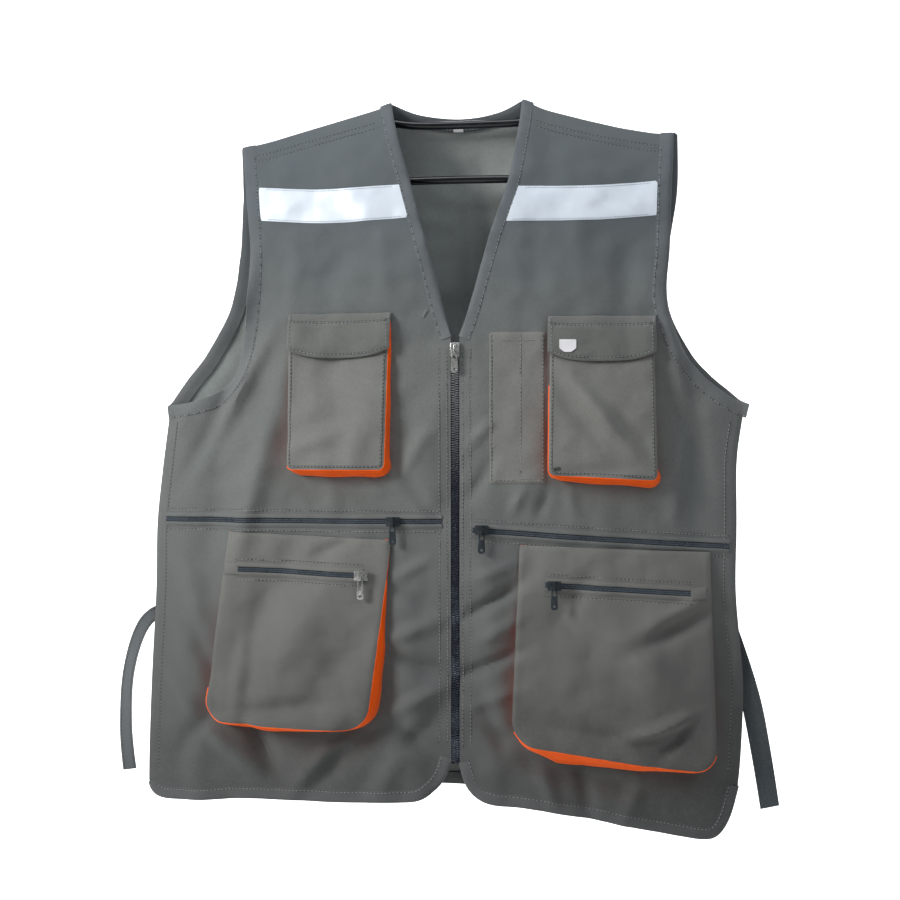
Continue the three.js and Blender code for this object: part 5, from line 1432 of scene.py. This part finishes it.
# Sliders and pullers: the cast shapes with their edges rounded
def rounded_copy(name, node, radius, material, slot, body, segments):
    """A piece with a solid's own shape and place, its edges rounded."""
    source = bpy.data.objects[node]
    mesh = source.data.copy()
    mesh.transform(source.matrix_world)
    shape = bmesh.new()
    shape.from_mesh(mesh)
    bmesh.ops.remove_doubles(shape, verts=shape.verts, dist=1e-6)
    bmesh.ops.dissolve_limit(shape, angle_limit=0.02, verts=shape.verts, edges=shape.edges)
    sharp = [e for e in shape.edges if len(e.link_faces) == 2 and e.calc_face_angle() > 0.6]
    bmesh.ops.bevel(
        shape, geom=sharp, offset=radius * MM, segments=segments, affect="EDGES", profile=0.5,
        clamp_overlap=True,
    )
    shape.to_mesh(mesh)
    shape.free()
    mesh.name = name
    mesh.shade_smooth()
    mesh.set_sharp_from_angle(angle=math.radians(50))
    piece = bpy.data.objects.new(name, mesh)
    bpy.context.scene.collection.objects.link(piece)
    dress(piece, material, slot, node, body=body)


# Kind, side, material and slot of each slider and of the puller that hangs from it
SLIDER_ROWS = [
    ("yoke_zip", "_left", DARK_METAL, "dark_metal"),
    ("yoke_zip", "_right", DARK_METAL, "dark_metal"),
    ("lower_pocket", "_left", BRIGHT_METAL, "bright_metal"),
    ("lower_pocket", "_right", DARK_METAL, "dark_metal"),
    ("front_zip", "", BRIGHT_METAL, "bright_metal"),
]
for kind, suffix, finish, slot_name in SLIDER_ROWS:
    rounded_copy(f"{kind}_cast{suffix}", f"{kind}_slider{suffix}", 0.7, finish, slot_name, "root", 3)
    puller = f"{kind}_puller{suffix}"
    rounded_copy(f"{kind}_pull{suffix}", puller, 0.35, finish, slot_name, puller, 2)

# Ties: flat bands that hang from behind the side seams, a little twisted
TIE_ROWS = {
    "left": (13, [(0.96, 0.69), (1.06, 0.706), (1.115, 0.74), (1.15, 0.8), (1.158, 0.87), (1.145, 0.935)]),
    "right": (19, [(0.84, 0.67), (0.9, 0.74), (0.95, 0.81), (0.985, 0.885), (1.015, 0.965)]),
}
TIE_SECTION = [(-0.5, 0.0), (-0.5, 1.0), (-0.42, 1.4), (0.42, 1.4), (0.5, 1.0), (0.5, 0.0)]
TIE_STITCHES = (-0.36, 0.36)
tie_paths = {}
for side, (width, rows) in TIE_ROWS.items():
    sign = SIGN[side]
    line = spline([(sign * HALF_WIDTH * out, -BODY_LENGTH * drop) for out, drop in rows], 60)
    normals = normals_of(line)
    share = np.linspace(0, 1, len(line))
    twist = 0.22 * np.sin(share * 7.0 + 0.6) * np.clip(share * 4, 0, 1)
    rows_3d = []
    for across, offset in TIE_SECTION + [(across, 0.0) for across in TIE_STITCHES]:
        aside = across * width
        x = line[:, 0] + normals[:, 0] * aside
        z = line[:, 1] + normals[:, 1] * aside
        y = cloth_y("back", x, z, SKIN_OUT + 1.6) + 4 * share + offset + aside * twist
        rows_3d.append(np.stack([x, y + 0.5 * np.sin(share * 19) * share, z], axis=1))
    tie_paths[side] = rows_3d[len(TIE_SECTION):]
    piece = tube(f"tie_band_{side}", np.stack(rows_3d[: len(TIE_SECTION)], axis=1), crease=50)
    # The right tie takes the darker copy of the tie cloth: painted shade
    dress(piece, TIE if side == "left" else TIE_PAINTED_SHADE, "vest_cloth", f"tie_{side}")

# Hanger: one round rod, over both shoulders and back along the lower bar
ROD = 8
ROD_SIDES = 20
HANGER_HALF_SPAN = 194
END_RADIUS = 13
BAR_DROP = 55
ROD_CLEARANCE = 0.75
SEAT_SHARES = [0.46, 0.62, 0.8, 0.95]
SEAT_DROP = 16  # the slopes under a shoulder are read this far below its ridge
SEAT_OPEN = 1.35  # from the nominal surface to the shoulder's inner face
SEAT_TOP = 2.4


def arm_seat(x):
    """Where the rod rests under a shoulder: it touches both slopes."""
    top = float(ridge_height(x))
    front = float(cloth_depth("front", x, top - SEAT_DROP)) / SEAT_DROP
    behind = float(cloth_depth("back", x, top - SEAT_DROP)) / SEAT_DROP
    radius = ROD / 2 + ROD_CLEARANCE
    lengths = math.hypot(1, front) + math.hypot(1, behind)
    drop = (radius * lengths - 2 * SEAT_OPEN) / (front + behind)
    return (x, radius * math.hypot(1, front) - SEAT_OPEN - front * drop, top - SEAT_TOP - drop)


def hanger_half(sign):
    seats = [arm_seat(sign * HANGER_HALF_SPAN * share) for share in SEAT_SHARES]
    end_y, end_z = seats[-1][1:]
    bend = (sign * (HANGER_HALF_SPAN + 0.5 * END_RADIUS), end_y, end_z - 0.6 * END_RADIUS)
    turn = (sign * (HANGER_HALF_SPAN + 0.3 * END_RADIUS), 0, end_z - 1.5 * END_RADIUS)
    foot = (sign * (HANGER_HALF_SPAN - 0.9 * END_RADIUS), 0, -BAR_DROP)
    return [(sign * 0.6 * NECK_HALF_WIDTH, 0, 0)] + seats + [bend, turn, foot]


loop = [(0, 0, -BAR_DROP)] + hanger_half(-1)[::-1] + hanger_half(1) + [(0, 0, -BAR_DROP)]
path = resample(spline(loop, 400), 4)
run = np.gradient(path, axis=0)
run[0] = run[-1] = (-1.0, 0.0, 0.0)
run = unit(run)
first_side = unit(np.cross(run, np.tile([0.0, 1.0, 0.0], (len(run), 1))))
second_side = np.cross(first_side, run)
rings = []
for step in range(ROD_SIDES):
    turn = 2 * math.pi * step / ROD_SIDES
    rings.append(path + (first_side * math.cos(turn) + second_side * math.sin(turn)) * ROD / 2)
piece = tube("hanger_rod", np.stack(rings, axis=1), crease=80)
dress(piece, HANGER, "hanger_black", "hanger")


# Blank neck label and blank badge on the right flap
def flap_surface(key, lift):
    """y of a flap's face from x and z."""
    pocket = POCKETS[key]

    def surface(x, z):
        across = np.clip((x - pocket["x"] + FLAP_OVERHANG) / (pocket["width"] + 2 * FLAP_OVERHANG), 0, 1)
        drop = pocket["top"] - pocket["top_fall"] * across + FLAP_ABOVE - z
        down = np.clip(drop / (FLAP_HEIGHT * (1 - FLAP_CORNER_LIFT * np.abs(2 * across - 1) ** 3)), 0, 1)
        depth = pocket_depth(pocket, across, np.maximum(0, (drop - FLAP_ABOVE) / pocket["height"]))
        over = np.minimum(1, down * 4) * (depth + 2 + FLAP_LIFT * down)
        return cloth_y("front", x, z, LAID_ON + over + lift)
    return surface


LABEL = [(-8, -4), (2, -4), (2, 5), (-8, 5)]
piece = patch("blank_label", LABEL, 2, back_surface(-1.9), back_surface(-1.0))
dress(piece, PATCH, "white_patch", "neck_label")
BADGE_X, BADGE_TOP, BADGE_WIDTH, BADGE_HEIGHT = 100, -220, 16, 12
BADGE_SHAPE = np.array([(0, 0), (0, 0.7), (0.3, 1), (0.7, 1), (1, 0.7), (1, 0)])
badge_line = np.array([BADGE_X, BADGE_TOP]) + BADGE_SHAPE * np.array([BADGE_WIDTH, -BADGE_HEIGHT])
right_flap = ("chest", "right")
piece = patch("blank_badge", badge_line, 1.5, flap_surface(right_flap, 3.1), flap_surface(right_flap, 1.5))
dress(piece, PATCH, "white_patch", "flap_badge")

# Stitching
front_thread = Thread("stitching_front")
back_thread = Thread("stitching_back")
dark_thread = Thread("stitching_dark")
silver_thread = Thread("stitching_silver")

on_band, behind_band = front_surface(SKIN_OUT + 0.5), back_surface(SKIN_OUT + 0.5)
on_panel, behind_panel = front_surface(SKIN_OUT + 0.12), back_surface(SKIN_OUT + 0.12)
on_pen_pocket = front_surface(SKIN_OUT + 1.4)
ARMHOLE_ROW, NECK_ROW, HEM_ROW = (
    width - 1.8 for width in (ARMHOLE_BINDING_WIDTH, NECK_BINDING_WIDTH, HEM_BAND_WIDTH)
)
for side in SIGN:
    sign = SIGN[side]
    front, into_front, behind, into_back = binding_lines["armhole", side]
    front_thread.row((front + into_front * ARMHOLE_ROW)[:-4], on_band)
    back_thread.row((behind + into_back * ARMHOLE_ROW)[4:], behind_band, facing=1)
    neck, into_neck = binding_lines["neck", side]
    front_thread.row((neck + into_neck * NECK_ROW)[:-3], on_band)
    neck_x = NECK_HALF_WIDTH * V_EDGE[side][0][1] + 14
    for face, thread, facing in (("front", front_thread, -1), ("back", back_thread, 1)):
        tip = ARMHOLE_OUT[face, side][0]
        seam = yoke_seam(sign * neck_x, sign * (HALF_WIDTH * tip - 14), 50)
        for rise in (3.0, -3.5):
            lift = SKIN_OUT + (0.35 if rise > 0 else 0.1)
            thread.row(seam + np.array([0, rise]), lambda x, z: cloth_y(face, x, z, lift), facing=facing)
    top, foot = strip_lines[side]
    for row in (top[2:-2] - np.array([0, 1.6]), foot[2:-2] + np.array([0, 1.6])):
        silver_thread.row(row, front_surface(SKIN_OUT + 0.85), length=2.0, gap=0.9, pressed=False)
    hem = hem_edge(side)
    hem_line = hem if side == "right" else hem[::-1]
    front_thread.row(resample(sideways(hem_line, HEM_ROW), 2), on_band)
    z = np.arange(FRONT_ZIP_TOP - 6, hem[0, 1] + 14, -4.0)
    for out in (7.5, 15.0):
        front_thread.row(np.stack([np.full_like(z, sign * out), z], axis=1), on_panel)
    band = side_line(side, -ARMHOLE_DROP - 16, hem[-1, 1] + 16)
    band[:, 0] -= sign * 12
    front_thread.row(band, on_panel)
    back_thread.row(band, behind_panel, facing=1)
    for kind in ("yoke", "lower"):
        line, surface = zip_lines[kind, side]
        for aside in (-10.0, 10.0):
            front_thread.row(sideways(resample(line, 4), aside), raised(surface, 0.12))
back_thread.row(sideways(back_foot, HEM_ROW), behind_band, facing=1)
middle_back = (back_neck + into_back_neck * NECK_ROW)[8:-8]
back_thread.row(middle_back, behind_band, facing=1)
front_thread.row(middle_back, back_surface(SKIN_OUT - 3.2))
for side in SIGN:
    key = ("chest", side)
    edge = pocket_edges[key]
    toward = 1 if normals_of(edge)[len(edge) // 2, 1] > 0 else -1
    front_thread.row(sideways(edge, toward * 3.0)[3:-3], face_surface(key, 2.15))
for side in SIGN:
    key = ("chest", side)
    front_thread.row_3d(flap_border(key, 0.24, 3.6, 1.75))
    for down in (0.2, 0.24):
        row = [flap_point(key, share, down, 1.75) for share in np.linspace(0.03, 0.97, 60)]
        front_thread.row_3d(np.array(row))
for x in (PEN_LEFT + 2.5, 63, PEN_RIGHT - 2.5):
    z = np.linspace(PEN_FOOT + 3, PEN_TOP - 3, 40)
    front_thread.row(np.stack([np.full_like(z, x), z], axis=1), on_pen_pocket)
for z in (PEN_TOP - 8, PEN_FOOT + 3):
    x = np.linspace(PEN_LEFT + 3, PEN_RIGHT - 3, 30)
    front_thread.row(np.stack([x, np.full_like(x, z)], axis=1), on_pen_pocket)
for paths in tie_paths.values():
    for path in paths:
        dark_thread.row_3d(path)
front_thread.tack(-29, -193, front_surface(SKIN_OUT + 0.8), 9, 60)
dark_thread.tack(98, -343, face_surface(right_flap, 2.2), 7, 10, 4)
dark_thread.tack(226, -463, face_surface(("lower", "right"), 2.2), 9, 80, 4)
for side in SIGN:
    for across in (0.02, 0.98):
        x, _, z = flap_point(("chest", side), across, 0.1, 0)
        front_thread.tack(x, z, flap_surface(("chest", side), 2.3), 6, 90)
front_thread.finish(THREAD)
back_thread.finish(THREAD)
dark_thread.finish(DARK_THREAD)
silver_thread.finish(SILVER_THREAD)

# Camera, light and floor
VIEW_YAW = math.radians(6)
VIEW_TARGET = Vector((-10.1, 0, -325)) * MM
VIEW_DISTANCE = 1.3
camera_data = bpy.data.cameras.new("photo_camera")
camera_data.lens = 52
camera_data.sensor_width = 36
camera = bpy.data.objects.new("photo_camera", camera_data)
bpy.context.scene.collection.objects.link(camera)
back_to_camera = Vector((math.sin(VIEW_YAW), -math.cos(VIEW_YAW), 0))
camera.location = VIEW_TARGET + back_to_camera * VIEW_DISTANCE
camera.rotation_euler = (math.pi / 2, 0, VIEW_YAW)
bpy.context.scene.camera = camera


def softbox(name, place, size, power, colour=(1, 1, 1)):
    data = bpy.data.lights.new(name, "AREA")
    data.shape = "SQUARE"
    data.size = size
    data.energy = power
    data.color = colour
    lamp = bpy.data.objects.new(name, data)
    lamp.location = place
    aim = Vector((0, 0, -0.35)) - Vector(place)
    lamp.rotation_euler = aim.to_track_quat("-Z", "Y").to_euler()
    bpy.context.scene.collection.objects.link(lamp)


softbox("key_left", (-3.04, -2.16, 1.2), 1.28, 150, (1.0, 0.99, 0.97))
softbox("fill_right", (1.4, -1.7, 1.1), 1.2, 12, (0.93, 0.96, 1.0))
softbox("top_soft", (0.0, -0.7, 1.5), 1.2, 14, (0.94, 0.97, 1.0))
softbox("back_soft", (0.4, 2.0, 0.6), 1.6, 11)

world = bpy.data.worlds.new("studio")
bpy.context.scene.world = world
world.use_nodes = True
world.node_tree.nodes["Background"].inputs["Color"].default_value = (1, 1, 1, 1)
world.node_tree.nodes["Background"].inputs["Strength"].default_value = 0.14

FLOOR_Z = -1.6
BACKDROP_Y = 2.3
BACKDROP_TOP = 3
STAGE_HALF = 4


def plane(name, corners, material):
    mesh = bpy.data.meshes.new(name)
    mesh.from_pydata(corners, [], [(0, 1, 2, 3)])
    mesh.materials.append(material)
    piece = bpy.data.objects.new(name, mesh)
    bpy.context.scene.collection.objects.link(piece)


floor_look = Nodes("pale_floor", roughness=0.8, specular_ior_level=0.2)
floor_look.colour(floor_look.mix(floor_look.noise(3, 2.0), (0.78, 0.78, 0.77, 1), (0.82, 0.82, 0.82, 1)))
backdrop = bpy.data.materials.new("white_backdrop")
backdrop.use_nodes = True
backdrop_shader = backdrop.node_tree.nodes["Principled BSDF"]
backdrop_shader.inputs["Base Color"].default_value = (1, 1, 1, 1)
backdrop_shader.inputs["Emission Color"].default_value = (1, 1, 1, 1)
backdrop_shader.inputs["Emission Strength"].default_value = 1.0
near_edge = [(-STAGE_HALF, -STAGE_HALF, FLOOR_Z), (STAGE_HALF, -STAGE_HALF, FLOOR_Z)]
foot_edge = [(-STAGE_HALF, BACKDROP_Y, FLOOR_Z), (STAGE_HALF, BACKDROP_Y, FLOOR_Z)]
top_edge = [(-STAGE_HALF, BACKDROP_Y, BACKDROP_TOP), (STAGE_HALF, BACKDROP_Y, BACKDROP_TOP)]
plane("floor", near_edge + foot_edge[::-1], floor_look.material)
plane("backdrop", foot_edge + top_edge[::-1], backdrop)
bpy.context.scene.view_settings.view_transform = "Standard"
